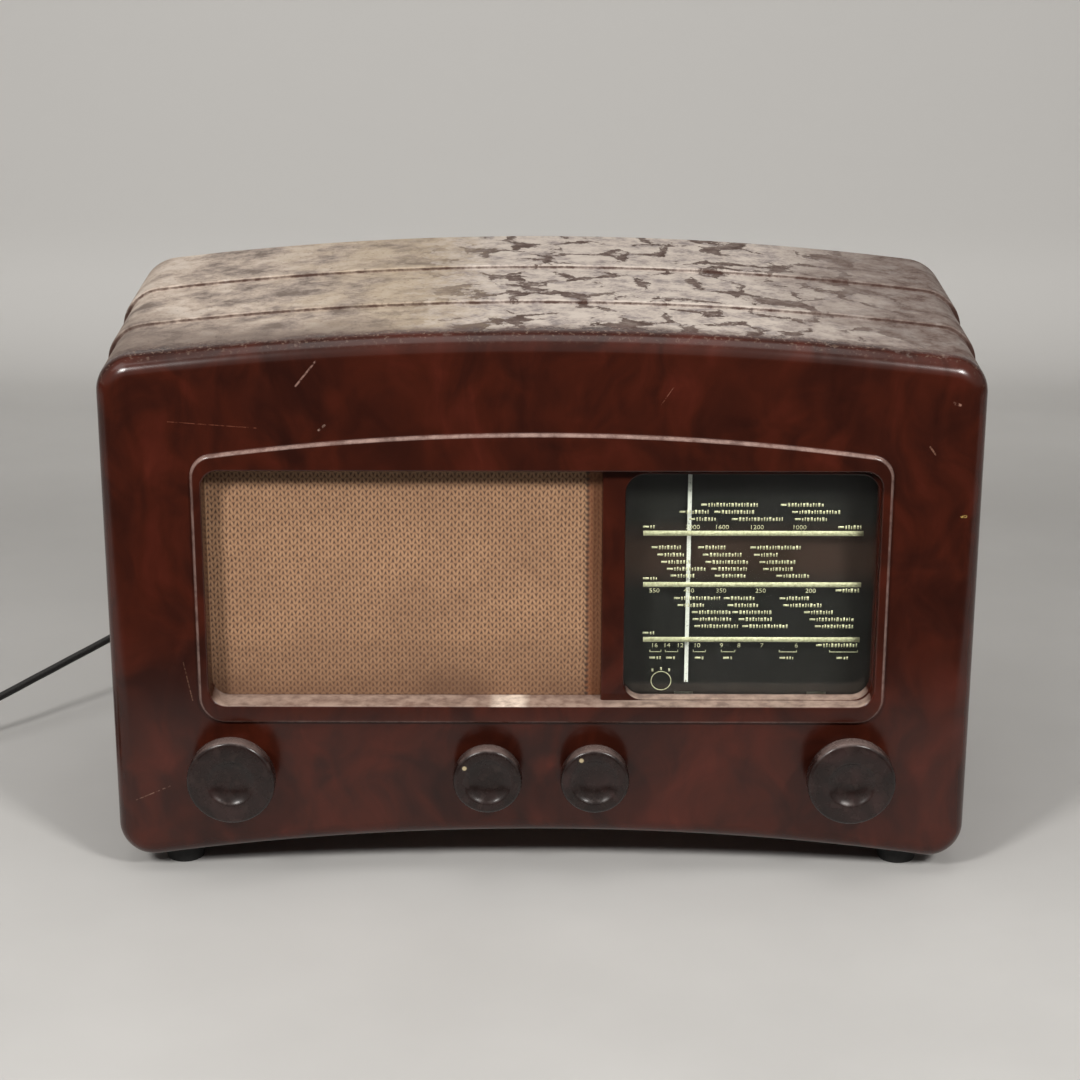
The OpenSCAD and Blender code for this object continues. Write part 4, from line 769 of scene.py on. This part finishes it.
    # Flaked plates on the right, and a grey, worn film at the right end and wherever it faces forward or sideways
    right = add(tree, "Math", {0: ragged, 1: 0.12, 2: x}, operation="MULTIPLY_ADD")
    right = add(tree, "MapRange", {"Value": right, "From Min": -0.01, "From Max": 0.035})
    end = add(tree, "Math", {0: broad, 1: 0.12, 2: x}, operation="MULTIPLY_ADD")
    end = add(tree, "MapRange", {"Value": end, "From Min": 0.17, "From Max": 0.25})
    grey = add(tree, "ValToRGB", {"Fac": stain}, ramp=[(0.36, "#54403a"), (0.48, "#75665f"), (0.62, "#8c817b")])
    rise = add(tree, "Math", {0: ragged, 1: 1.2, 2: facing.outputs["Z"]}, operation="MULTIPLY_ADD")
    rise = add(tree, "MapRange", {"Value": rise, "From Min": 0.62, "From Max": 1.12, "To Min": 0.05})
    film_colour = beige
    for share, over in ((right, flaked), (end, grey)):
        film_colour = add(tree, "Mix", {0: share, "A": film_colour, "B": over}, data_type="RGBA")
    film_colour = add(tree, "Mix", {0: rise, "A": "#402820", "B": film_colour}, data_type="RGBA")

    # Crumbs of it on the clean strip in front
    strip = add(tree, "MapRange", {"Value": depth, "From Min": 0.001, "From Max": 0.012})
    crumbs = add(tree, "MapRange", {"Value": fine, "From Min": 0.57, "From Max": 0.63})
    for share in (strip, high, 0.6):
        crumbs = add(tree, "Math", {0: crumbs, 1: share}, operation="MULTIPLY")

    # Dust that lies on the ledge under the cloth and the dial
    level = add(tree, "MapRange", {"Value": facing.outputs["Z"], "From Min": 0.45, "From Max": 0.85})
    low = add(tree, "MapRange", {"Value": z, "From Min": 0.113, "From Max": 0.108})
    inside = add(tree, "MapRange", {"Value": depth, "From Min": 0.0145, "From Max": 0.012})
    dust = add(tree, "MapRange", {"Value": ragged, "From Min": 0.38, "From Max": 0.6, "To Min": 0.45})
    for share in (low, inside, level):
        dust = add(tree, "Math", {0: dust, 1: share}, operation="MULTIPLY")

    # A whiter patch on the dust near the middle: a painted highlight
    ledge_highlight = stroke(tree, place, (-20, 100), (-13, 100), 10, 0.5)
    ledge_highlight = add(tree, "Math", {0: ledge_highlight, 1: dust}, operation="MULTIPLY")

    # The raised frame's rounded outer rim: rubbed pale, with a painted highlight that is strongest where it faces up
    proud = add(tree, "MapRange", {"Value": depth, "From Min": -0.0002, "From Max": -0.0007})
    round_edge = add(tree, "MapRange", {"Value": facing.outputs["Y"], "From Min": -0.998, "From Max": -0.95})
    outer = add(tree, "Math", {0: x}, operation="ABSOLUTE")
    outer = add(tree, "Math", {0: outer, 1: (FRAME_HALF - 3) * MM}, operation="SUBTRACT")
    top = add(tree, "Math", {0: z, 1: (OPEN_Z[1] + 2) * MM}, operation="SUBTRACT")
    foot = add(tree, "Math", {0: (OPEN_Z[0] - 2.5) * MM, 1: z}, operation="SUBTRACT")
    for edge in (top, foot):
        outer = add(tree, "Math", {0: outer, 1: edge}, operation="MAXIMUM")
    outer = add(tree, "Math", {0: outer, 1: 0.0}, operation="GREATER_THAN")
    worn = add(tree, "MapRange", {"Value": ragged, "From Min": 0.38, "From Max": 0.62, "To Min": 0.25,
                                  "To Max": 0.65})
    # A painted highlight: the rim is painted paler the more it faces up, towards the lamps above
    painted_light_from_above = add(tree, "MapRange", {"Value": facing.outputs["Z"], "From Min": -0.3, "From Max": 0.35, "To Min": 0.3,
                                    "To Max": 1.15})
    rim = proud
    for share in (round_edge, outer, worn, painted_light_from_above):
        rim = add(tree, "Math", {0: rim, 1: share}, operation="MULTIPLY", use_clamp=True)

    colour = brown
    for share, over in ((crumbs, "#a08b7b"), (film, film_colour), (dust, "#a68f81"), (ledge_highlight, "#f0e0d0"),
                        (rim, "#ad9086")):
        colour = add(tree, "Mix", {0: share, "A": colour, "B": over}, data_type="RGBA")

    # Scratches and chips, broken up: from, to, width and colour of each
    broken = add(tree, "MapRange", {"Value": fine, "From Min": 0.42, "From Max": 0.56})
    on_front = add(tree, "Math", {0: depth, 1: 0.006}, operation="LESS_THAN")
    broken = add(tree, "Math", {0: broken, 1: on_front}, operation="MULTIPLY")
    for start, end_at, width, code in (
            ((-188.4, 252.5), (-144, 249.3), 0.5, "#66392b"), ((-123.5, 271.2), (-113.2, 284), 0.9, "#8a6a60"),
            ((-112.5, 248.2), (-109.5, 250.8), 1.0, "#8c7166"), ((214, 203), (216, 203), 1.4, "#b89a5a"),
            ((207, 263), (210, 262), 1.4, "#8f6a5c"), ((196, 240), (199, 236), 0.9, "#7d5a4b"),
            ((60, 262), (66, 271), 0.4, "#7a4c3e"), ((-186, 122), (-182, 101), 0.5, "#7a5a4a"),
            ((-214, 44), (-196, 52), 0.5, "#76584a")):
        line = stroke(tree, place, start, end_at, width)
        line = add(tree, "Math", {0: line, 1: broken}, operation="MULTIPLY")
        colour = add(tree, "Mix", {0: line, "A": colour, "B": code}, data_type="RGBA")

    # The film and the dust are dull and rough to the touch; the bare moulding keeps its gloss over a faint sag
    matt = add(tree, "Math", {0: film, 1: dust}, operation="MAXIMUM")
    polish = add(tree, "MapRange", {"Value": streaks, "To Min": 0.14, "To Max": 0.28})
    rough = add(tree, "Mix", {0: matt, "A": polish, "B": 0.9}, data_type="FLOAT")
    crust = add(tree, "Math", {0: ragged, 1: plate}, operation="ADD")
    crust = add(tree, "Math", {0: crust, 1: film}, operation="MULTIPLY")
    wavy = add(tree, "Bump", {"Strength": 0.25, "Distance": 0.0006, "Height": sag})
    bump = add(tree, "Bump", {"Strength": 0.6, "Distance": 0.0005, "Height": crust, "Normal": wavy})
    join(tree, shader, Base_Color=colour, Roughness=rough, Normal=bump)
    return material


def moulded_phenolic_knobs():
    """The same phenolic in a darker brown, dulled by hands, with dust worn into the upper side of the lip, a painted
    highlight on its upper sides, and a cream dot let into each small knob."""
    material, tree, shader, place = start_finish("moulded_phenolic_knobs", ior=1.5, Specular_IOR_Level=0.36)
    blots = add(tree, "TexNoise", {"Vector": place, "Scale": per(14), "Detail": 5, "Distortion": 0.8})
    brown = add(tree, "ValToRGB", {"Fac": blots}, ramp=[(0.35, "#1b1210"), (0.55, "#241816"), (0.7, "#30201e")])
    grime = add(tree, "TexNoise", {"Vector": place, "Scale": per(5), "Detail": 4, "Roughness": 0.6})
    greasy = add(tree, "MapRange", {"Value": grime, "From Min": 0.55, "From Max": 0.75, "To Max": 0.25})
    colour = add(tree, "Mix", {0: greasy, "A": brown, "B": "#4c3e39"}, data_type="RGBA")
    facing = add(tree, "SeparateXYZ", {"Vector": add(tree, "TexCoord").outputs["Normal"]})
    # Faces that look up are painted paler: partly dust, partly a painted highlight from the lamps above
    dust_and_highlight = add(tree, "Math", {0: grime, 1: 0.5, 2: facing.outputs["Z"]}, operation="MULTIPLY_ADD")
    dust_and_highlight = add(tree, "MapRange", {"Value": dust_and_highlight, "From Min": 0.72, "From Max": 1.2, "To Max": 0.75})
    colour = add(tree, "Mix", {0: dust_and_highlight, "A": colour, "B": "#7a6964"}, data_type="RGBA")
    for x, angle in ((-SMALL_X, -57), (SMALL_X, -30)):
        a = math.radians(angle)
        at = (x + DOT_OUT * math.sin(a), KNOB_Z + DOT_OUT * math.cos(a))
        dot = stroke(tree, place, at, (at[0] + 0.01, at[1]), 2.3)
        colour = add(tree, "Mix", {0: dot, "A": colour, "B": "#b3a483"}, data_type="RGBA")
    rough = add(tree, "MapRange", {"Value": grime, "From Min": 0.35, "From Max": 0.65, "To Min": 0.2, "To Max": 0.32})
    bump = add(tree, "Bump", {"Strength": 0.05, "Distance": 0.0002, "Height": grime})
    join(tree, shader, Base_Color=colour, Roughness=rough, Normal=bump)
    return material


def woven_grille_cloth():
    """Cotton and rayon woven in small stitches like a row of V, 3.8 mm by 3.3 mm: pale gold thread over brown."""
    material, tree, shader, place = start_finish("woven_grille_cloth", roughness=0.75, Sheen_Weight=0.2)
    xyz = add(tree, "SeparateXYZ", {"Vector": place})
    wobble = add(tree, "TexNoise", {"Vector": place, "Scale": per(18), "Detail": 3})
    u = add(tree, "Math", {0: xyz.outputs["X"], 1: per(3.8)}, operation="MULTIPLY")
    u = add(tree, "Math", {0: wobble, 1: 0.5, 2: u}, operation="MULTIPLY_ADD")
    zig = add(tree, "Math", {0: u, 1: 0.5}, operation="PINGPONG")
    v = add(tree, "Math", {0: xyz.outputs["Z"], 1: per(3.3)}, operation="MULTIPLY")
    v = add(tree, "Math", {0: wobble, 1: 0.6, 2: v}, operation="MULTIPLY_ADD")
    row = add(tree, "Math", {0: zig, 1: 1.8, 2: v}, operation="MULTIPLY_ADD")
    thread = add(tree, "Math", {0: row, 1: 0.5}, operation="PINGPONG")
    # The ground shows only where two stitches meet, so the gap is open there and closed along the stitch
    along = add(tree, "Math", {0: add(tree, "Math", {0: zig, 1: 0.25}, operation="SUBTRACT")}, operation="ABSOLUTE")
    gap = add(tree, "MapRange", {"Value": along, "From Min": 0.05, "From Max": 0.25, "To Min": 0.05, "To Max": 0.55})
    lift = add(tree, "Math", {0: thread, 1: gap}, operation="DIVIDE", use_clamp=True)
    ply = add(tree, "Math", {0: add(tree, "Math", {0: xyz.outputs["X"], 1: per(0.7)}, operation="MULTIPLY"), 1: 0.5},
              operation="PINGPONG")
    height = add(tree, "Math", {0: ply, 1: 0.4, 2: lift}, operation="MULTIPLY_ADD")
    spun = add(tree, "TexNoise", {"Vector": place, "Scale": per(2.6), "Detail": 4, "Roughness": 0.6})
    shade = add(tree, "Mix", {0: 0.42, "A": lift, "B": spun}, data_type="FLOAT")
    gold = add(tree, "ValToRGB", {"Fac": shade}, ramp=[
        (0.18, "#3c251b"), (0.45, "#7b5a44"), (0.72, "#a87f5d"), (0.9, "#bf9672")])
    dirt = add(tree, "TexNoise", {"Vector": place, "Scale": per(40), "Detail": 4})
    soiled = add(tree, "MapRange", {"Value": dirt, "From Min": 0.35, "From Max": 0.7, "To Min": 0.0, "To Max": 0.3})
    low = add(tree, "MapRange", {"Value": xyz.outputs["Z"], "From Min": 0.13, "From Max": 0.1, "To Max": 0.62})
    soiled = add(tree, "Math", {0: soiled, 1: low}, operation="ADD")
    # A tide mark, left where damp came up to
    tide = add(tree, "Math", {0: dirt, 1: -0.035, 2: xyz.outputs["Z"]}, operation="MULTIPLY_ADD")
    tide = add(tree, "Math", {0: add(tree, "Math", {0: tide, 1: 0.104}, operation="SUBTRACT")}, operation="ABSOLUTE")
    tide = add(tree, "MapRange", {"Value": tide, "From Min": 0.018, "From Max": 0.002, "To Max": 0.38})
    soiled = add(tree, "Math", {0: soiled, 1: tide}, operation="MAXIMUM", use_clamp=True)
    colour = add(tree, "Mix", {0: soiled, "A": gold, "B": "#64442f"}, data_type="RGBA")
    # By the divider the cloth's end is painted orange-brown: partly its own frayed, stained edge, partly a painted
    # shade of the divider
    stain_and_divider_shade = add(tree, "Math", {0: wobble, 1: 0.004, 2: xyz.outputs["X"]}, operation="MULTIPLY_ADD")
    stain_and_divider_shade = add(tree, "MapRange", {"Value": stain_and_divider_shade, "From Min": 0.0248, "From Max": 0.0262, "To Max": 0.75})
    colour = add(tree, "Mix", {0: stain_and_divider_shade, "A": colour, "B": "#7a4523"}, data_type="RGBA")
    seam = add(tree, "Math", {0: add(tree, "Math", {0: xyz.outputs["X"], 1: 0.0236}, operation="SUBTRACT")},
               operation="ABSOLUTE")
    seam = add(tree, "MapRange", {"Value": seam, "From Min": 0.0015, "From Max": 0.0005, "To Max": 1.8})
    seam = add(tree, "Math", {0: seam, 1: add(tree, "Math", {0: v, 1: 0.5}, operation="PINGPONG")},
               operation="MULTIPLY")
    colour = add(tree, "Mix", {0: seam, "A": colour, "B": "#22130c"}, data_type="RGBA")
    bump = add(tree, "Bump", {"Strength": 0.6, "Distance": 0.0004, "Height": height})
    join(tree, shader, Base_Color=colour, Normal=bump)
    return material


def plate_glass():
    """Cut window glass, clear with a faint grey-green, dusty from behind: it lets the light in without a shadow."""
    material, tree, shader, place = start_finish("plate_glass", roughness=0.02, ior=1.5, Transmission_Weight=1.0)
    dust = add(tree, "TexNoise", {"Vector": place, "Scale": per(30), "Detail": 6})
    tint = add(tree, "ValToRGB", {"Fac": dust}, ramp=[(0.4, "#f1f4f2"), (0.7, "#e4e8e4")])
    join(tree, shader, Base_Color=tint)
    clear = add(tree, "BsdfTransparent", {"Color": "#eef2ef"})
    through = add(tree, "MixShader", {0: add(tree, "LightPath").outputs["Is Shadow Ray"], 1: shader, 2: clear})
    tree.links.new(through.outputs[0], tree.nodes["Material Output"].inputs["Surface"])
    return material


def dial_paint():
    """Matt black stove enamel on the dial plate, with a painted brown reflection in a band across its middle."""
    material, tree, shader, place = start_finish("stove_enamel_black", roughness=0.55)
    baked = add(tree, "TexNoise", {"Vector": place, "Scale": per(50), "Detail": 3})
    black = add(tree, "ValToRGB", {"Fac": baked}, ramp=[(0.35, "#100e0d"), (0.65, "#191614")])
    z, reflection_band_z = add(tree, "SeparateXYZ", {"Vector": place}).outputs["Z"], 0.174
    # A painted reflection: a brown band across the plate, standing in for a reflection in the glass
    middle = add(tree, "Math", {0: z, 1: reflection_band_z}, operation="SUBTRACT")
    middle = add(tree, "Math", {0: middle}, operation="ABSOLUTE")
    painted_reflection = add(tree, "MapRange", {"Value": middle, "From Min": 0.02, "From Max": 0.006})
    colour = add(tree, "Mix", {0: painted_reflection, "A": black, "B": "#332017"}, data_type="RGBA")
    join(tree, shader, Base_Color=colour)
    return material


def plated_steel(name, light, dark, roughness):
    """Cadmium or zinc plate on pressed steel: a soft grey shine with dull, yellowed bloom."""
    return patterned(name, {"Scale": per(9), "Detail": 5, "Roughness": 0.65}, [(0.35, dark), (0.6, light)],
                     (roughness + 0.15, roughness - 0.1), (0.1, 0.0002), metallic=1.0)


def drawn_metal(name, light, dark, roughness, grain, across):
    """Drawn, spun or turned metal: fine lines run one way, so the shine stretches across them."""
    material, tree, shader, place = start_finish(name, metallic=1.0)
    stretch = [8.0, 8.0, 8.0]
    stretch[across] = 0.3
    lines_at = add(tree, "Mapping", {"Vector": place, "Scale": stretch})
    lines = add(tree, "TexNoise", {"Vector": lines_at, "Scale": per(grain), "Detail": 3})
    tarnish = add(tree, "TexNoise", {"Vector": place, "Scale": per(12), "Detail": 4})
    colour = add(tree, "ValToRGB", {"Fac": tarnish}, ramp=[(0.36, dark), (0.62, light)])
    rough = add(tree, "MapRange", {"Value": lines, "To Min": roughness - 0.08, "To Max": roughness + 0.12})
    bump = add(tree, "Bump", {"Strength": 0.12, "Distance": 0.0001, "Height": lines})
    join(tree, shader, Base_Color=colour, Roughness=rough, Normal=bump)
    return material


def fibre_board(name, light, dark, grain, weave):
    """Pressed wood or paper fibre: flecks of light and dark fibre, dull, with a mesh print on its rough side."""
    material, tree, shader, place = start_finish(name, roughness=0.85)
    flecks = add(tree, "TexNoise", {"Vector": place, "Scale": per(grain), "Detail": 6, "Roughness": 0.75})
    broad = add(tree, "TexNoise", {"Vector": place, "Scale": per(35), "Detail": 3})
    both = add(tree, "Mix", {0: 0.22, "A": flecks, "B": broad}, data_type="FLOAT")
    colour = add(tree, "ValToRGB", {"Fac": both}, ramp=[(0.36, dark), (0.6, light)])
    mesh = add(tree, "TexVoronoi", {"Vector": place, "Scale": per(weave), "Randomness": 0.15})
    height = add(tree, "Math", {0: mesh, 1: 0.6, 2: flecks}, operation="MULTIPLY_ADD")
    bump = add(tree, "Bump", {"Strength": 0.45, "Distance": 0.0003, "Height": height})
    join(tree, shader, Base_Color=colour, Normal=bump)
    return material


def soft_black(name, light, dark, roughness, grain, depth):
    """Vulcanised rubber or phenolic gone dull: near black with a grey bloom in its pores."""
    return patterned(name, {"Scale": per(grain), "Detail": 5, "Roughness": 0.7}, [(0.4, dark), (0.68, light)],
                     (roughness - 0.1, roughness + 0.1), (0.2, depth), roughness=roughness)


def metal_sprayed_glass():
    """A valve's bulb, sprayed grey with metal for screening, above its brown moulded base."""
    material, tree, shader, place = start_finish("metal_sprayed_glass", roughness=0.5)
    z, base_top = add(tree, "SeparateXYZ", {"Vector": place}).outputs["Z"], 0.1095
    grit = add(tree, "TexNoise", {"Vector": place, "Scale": per(1.5), "Detail": 5})
    spray = add(tree, "ValToRGB", {"Fac": grit}, ramp=[(0.35, "#55524d"), (0.65, "#827e76")])
    base = add(tree, "ValToRGB", {"Fac": grit}, ramp=[(0.35, "#2a1a14"), (0.65, "#45291e")])
    bulb = add(tree, "Math", {0: z, 1: base_top}, operation="GREATER_THAN")
    colour = add(tree, "Mix", {0: bulb, "A": base, "B": spray}, data_type="RGBA")
    bump = add(tree, "Bump", {"Strength": 0.3, "Distance": 0.0002, "Height": grit})
    metal = add(tree, "Math", {0: bulb, 1: 0.7}, operation="MULTIPLY")
    join(tree, shader, Base_Color=colour, Metallic=metal, Normal=bump)
    return material


def transformer_iron():
    """Varnished stack of iron sheets half a millimetre thick, drawn a millimetre apart so that they show."""
    material, tree, shader, place = start_finish("varnished_iron_stack", metallic=0.6, roughness=0.45)
    y = add(tree, "SeparateXYZ", {"Vector": place}).outputs["Y"]
    sheets = add(tree, "Math", {0: add(tree, "Math", {0: y, 1: per(1.0)}, operation="MULTIPLY"), 1: 0.5},
                 operation="PINGPONG")
    rust = add(tree, "TexNoise", {"Vector": place, "Scale": per(6), "Detail": 5})
    colour = add(tree, "ValToRGB", {"Fac": rust}, ramp=[(0.4, "#46423c"), (0.58, "#5f584e"), (0.7, "#6d4a33")])
    bump = add(tree, "Bump", {"Strength": 0.5, "Distance": 0.0003, "Height": sheets})
    join(tree, shader, Base_Color=colour, Normal=bump)
    return material


finishes = {
    "phenolic": moulded_phenolic(),
    "knob_phenolic": moulded_phenolic_knobs(),
    "hardboard": fibre_board("pressed_hardboard", "#86603c", "#5c3f27", 2.0, 1.6),
    # Rotary-cut birch veneer on edge-glued plies: long pale grain on the faces
    "plywood": patterned("birch_plywood", {"Scale": per(3.5), "Detail": 5, "Distortion": 0.8},
                         [(0.35, "#7a5836"), (0.6, "#a98356")], bump=(0.15, 0.0002), stretch=(0.12, 1, 1),
                         roughness=0.65),
    "screw_steel": plated_steel("zinc_plated_steel", "#b8b6ae", "#8c867a", 0.4),
    "foot_rubber": soft_black("moulded_rubber", "#1b1a19", "#0b0a0a", 0.8, 3.0, 0.0003),
    # Pressed wool: matted fibres under a millimetre long, no shine at all
    "felt": patterned("wool_felt", {"Scale": per(0.8), "Detail": 6, "Distortion": 2},
                      [(0.35, "#3c2f25"), (0.65, "#6b5845")], bump=(0.6, 0.0004), roughness=0.95, Sheen_Weight=0.4),
    "grille_cloth": woven_grille_cloth(),
    # Grey-black hammer enamel on the loudspeaker's pressed basket: small dimples with a soft gloss
    "speaker_paint": patterned("hammer_enamel", {"Scale": per(2.2)}, [(0.1, "#4b4d4c"), (0.7, "#2c2e2d")],
                               bump=(0.35, 0.0003), kind="TexVoronoi", options={"feature": "SMOOTH_F1"},
                               roughness=0.35, metallic=0.3),
    # Felted black paper: short fibres, dull
    "speaker_paper": patterned("cone_paper", {"Scale": per(1.2), "Detail": 6}, [(0.35, "#1b1a19"), (0.65, "#34312e")],
                               bump=(0.4, 0.0003), roughness=0.9),
    "magnet_iron": plated_steel("lacquered_iron", "#86847e", "#5b5650", 0.45),
    "chassis_steel": plated_steel("cadmium_plated_steel", "#a8a69b", "#7d796b", 0.42),
    "valve_glass": metal_sprayed_glass(),
    "laminated_board": fibre_board("laminated_paper_board", "#86592f", "#5f3d20", 4.0, 0.8),
    "transformer_iron": transformer_iron(),
    "can_aluminium": drawn_metal("drawn_aluminium", "#c4c4c0", "#9d9c97", 0.4, 1.2, 2),
    "lamp_brass": drawn_metal("spun_brass", "#c2a050", "#8b6d33", 0.35, 1.0, 0),
    "gang_steel": plated_steel("nickel_plated_steel", "#c0bdb2", "#96917f", 0.35),
    "vane_aluminium": drawn_metal("rolled_aluminium", "#cdcdca", "#a9a8a3", 0.38, 1.0, 2),
    "drum_aluminium": drawn_metal("cast_aluminium", "#b4b2ab", "#8f8d85", 0.5, 1.5, 0),
    # Waxed linen drive cord: three plies that twist once in 1.6 mm
    "drive_cord_yarn": patterned("waxed_linen_yarn", {"Scale": per(10), "Distortion": 3, "Detail": 2},
                                 [(0.2, "#8d7a58"), (0.7, "#c2ae86")], bump=(0.4, 0.0002), kind="TexWave",
                                 options={"bands_direction": "DIAGONAL"}, roughness=0.8),
    "pulley_brass": drawn_metal("turned_brass", "#c4a04e", "#8f7034", 0.3, 0.8, 1),
    "spindle_steel": drawn_metal("turned_steel", "#b3b1ab", "#87847c", 0.3, 0.8, 1),
    # White enamel on brass strip, slightly chipped to a silver grey
    "pointer_paint": patterned("white_enamel", {"Scale": per(2), "Detail": 4},
                               [(0.32, "#8f8d88"), (0.42, "#e6e4de")], roughness=0.4),
    "dial_paint": dial_paint(),
    "dial_glass": plate_glass(),
    "control_steel": plated_steel("tinned_steel", "#a7a49a", "#7e7869", 0.4),
    "cord_rubber": soft_black("vulcanised_rubber", "#2b2a29", "#121212", 0.5, 1.4, 0.0002),
    "tie_card": fibre_board("grey_card", "#7a7a74", "#5c5c57", 1.5, 0.9),
    "plug_plastic": soft_black("moulded_phenolic_black", "#2a2725", "#151312", 0.35, 5.0, 0.0001),
    "plug_brass": drawn_metal("drawn_brass", "#cdb068", "#9c8040", 0.28, 0.8, 2),
    # Cream ink printed on the back of the glass; thin, so it is a little uneven
    "dial_ink": patterned("dial_ink", {"Scale": per(1.5), "Detail": 4}, [(0.35, "#a8a384"), (0.6, "#cdc8a6")],
                          roughness=0.6)}


def dress(piece, slot, finish=None):
    """Gives a piece the finish of its slot, or another one."""
    piece.data.materials.clear()
    piece.data.materials.append(finishes[finish or slot])


for entry in frame["record"]["subparts"]:
    dress(nodes[entry["node"]], entry["material_slot"])
for piece, slot, body, replaced in (
        (case, "phenolic", "root", ["cabinet"]), (cloth, "grille_cloth", "root", ["grille_cloth"]),
        *[(knob, "knob_phenolic", name, [name + "_knob"]) for name, knob in knobs.items()],
        (mains_lead, "cord_rubber", "root", ["mains_cord", "cord_coil"]),
        (plug, "plug_plastic", "root", ["plug_body"]), (sleeve, "cord_rubber", "root", ["cord_grommet"]),
        (back_screws, "screw_steel", "root", ["back_screws"]),
        (bottom_screws, "screw_steel", "root", ["bottom_screws"])):
    dress(piece, slot)
    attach(piece, body)
    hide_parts(*replaced)
dress(dial_print, "dial_paint", "dial_ink")
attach(dial_print, "root")


# ---------------------------------------------------------------- floor, backdrop and light

def build_stage():
    """A pale grey table top that ends 0.24 m in front of the case and curves up into a paler backdrop. The back of
    the backdrop is see-through, for a look from behind."""
    near, nose, far, cove, half_width = -335, 8, 860, 120, 3200
    profile = [(near - nose, -4 * nose)] + arc(near, -nose, nose, 180, 90, 6) + [(far, 0)]
    profile += arc(far, cove, cove, -80, 0, 8) + [(far + cove, 1200), (far + cove, 2600)]
    solid, below_feet = Solid(), 0.02
    for y, z in profile:
        solid.points += [(-half_width, y, z - below_feet), (half_width, y, z - below_feet)]
    solid.faces = [(2 * i, 2 * i + 1, 2 * i + 3, 2 * i + 2) for i in range(len(profile) - 1)]
    stage = solid.make("table_and_backdrop", 60)
    stage.data.flip_normals()
    material, tree, shader, place = start_finish("painted_board_grey", roughness=0.7)
    xyz = add(tree, "SeparateXYZ", {"Vector": place})
    grit = add(tree, "TexNoise", {"Vector": place, "Scale": per(160), "Detail": 4})
    rise = add(tree, "MapRange", {"Value": xyz.outputs["Y"], "From Min": 0.8, "From Max": (far + cove - 10) * MM})
    table = add(tree, "ValToRGB", {"Fac": grit}, ramp=[(0.35, "#bab9b7"), (0.65, "#c0bfbd")])
    colour = add(tree, "Mix", {0: rise, "A": table, "B": "#cfcecc"}, data_type="RGBA")
    join(tree, shader, Base_Color=colour)
    seen = add(tree, "MixShader", {0: add(tree, "NewGeometry").outputs["Backfacing"], 1: shader,
                                   2: add(tree, "BsdfTransparent")})
    tree.links.new(seen.outputs[0], tree.nodes["Material Output"].inputs["Surface"])
    stage.data.materials.append(material)


def soft_light(name, azimuth, elevation, distance, size, power):
    """A square lamp aimed at the middle of the case: degrees from the front and up, metres, and watts."""
    lamp = bpy.data.lights.new(name, "AREA")
    lamp.shape, lamp.size, lamp.energy = "SQUARE", size, power
    lamp.color = (1.0, 0.98, 0.95)
    light = bpy.data.objects.new(name, lamp)
    bpy.context.scene.collection.objects.link(light)
    a, e = math.radians(azimuth), math.radians(elevation)
    way = Vector((math.sin(a) * math.cos(e), -math.cos(a) * math.cos(e), math.sin(e)))
    light.location = Vector((0, 0, 0.15)) + way * distance
    light.rotation_euler = way.to_track_quat("Z", "Y").to_euler()


build_stage()
soft_light("key_left", -34, 33, 1.7, 0.26, 15.5)
soft_light("key_right", 34, 33, 1.7, 0.26, 16)
soft_light("window_left", -58, 48, 1.9, 0.8, 5)
soft_light("overhead", 0, 80, 1.8, 1.2, 8.5)

room = bpy.data.worlds.new("room_beyond_the_table")
room.use_nodes = True
sky = room.node_tree
# The room lights the object only dimly. The camera, the gloss and the glass see its pale walls, but below the level
# of the table the gloss sees the dark that is under it.
dim = sky.nodes["Background"]
dim.inputs["Color"].default_value = linear("#423f3d")
walls = add(sky, "Background", {"Color": "#b7b4b0"})
rays = add(sky, "LightPath").outputs
up = add(sky, "SeparateXYZ", {"Vector": add(sky, "TexCoord").outputs["Generated"]}).outputs["Z"]
above = add(sky, "MapRange", {"Value": up, "From Min": 0.0, "From Max": 0.06})
mirrored = add(sky, "Math", {0: rays["Is Glossy Ray"], 1: rays["Is Transmission Ray"]}, operation="MAXIMUM")
mirrored = add(sky, "Math", {0: mirrored, 1: above}, operation="MULTIPLY")
pale = add(sky, "Math", {0: mirrored, 1: rays["Is Camera Ray"]}, operation="MAXIMUM")
shown = add(sky, "MixShader", {0: pale, 1: dim, 2: walls})
sky.links.new(shown.outputs[0], sky.nodes["World Output"].inputs["Surface"])
bpy.context.scene.world = room
bpy.context.scene.view_settings.view_transform = "Standard"
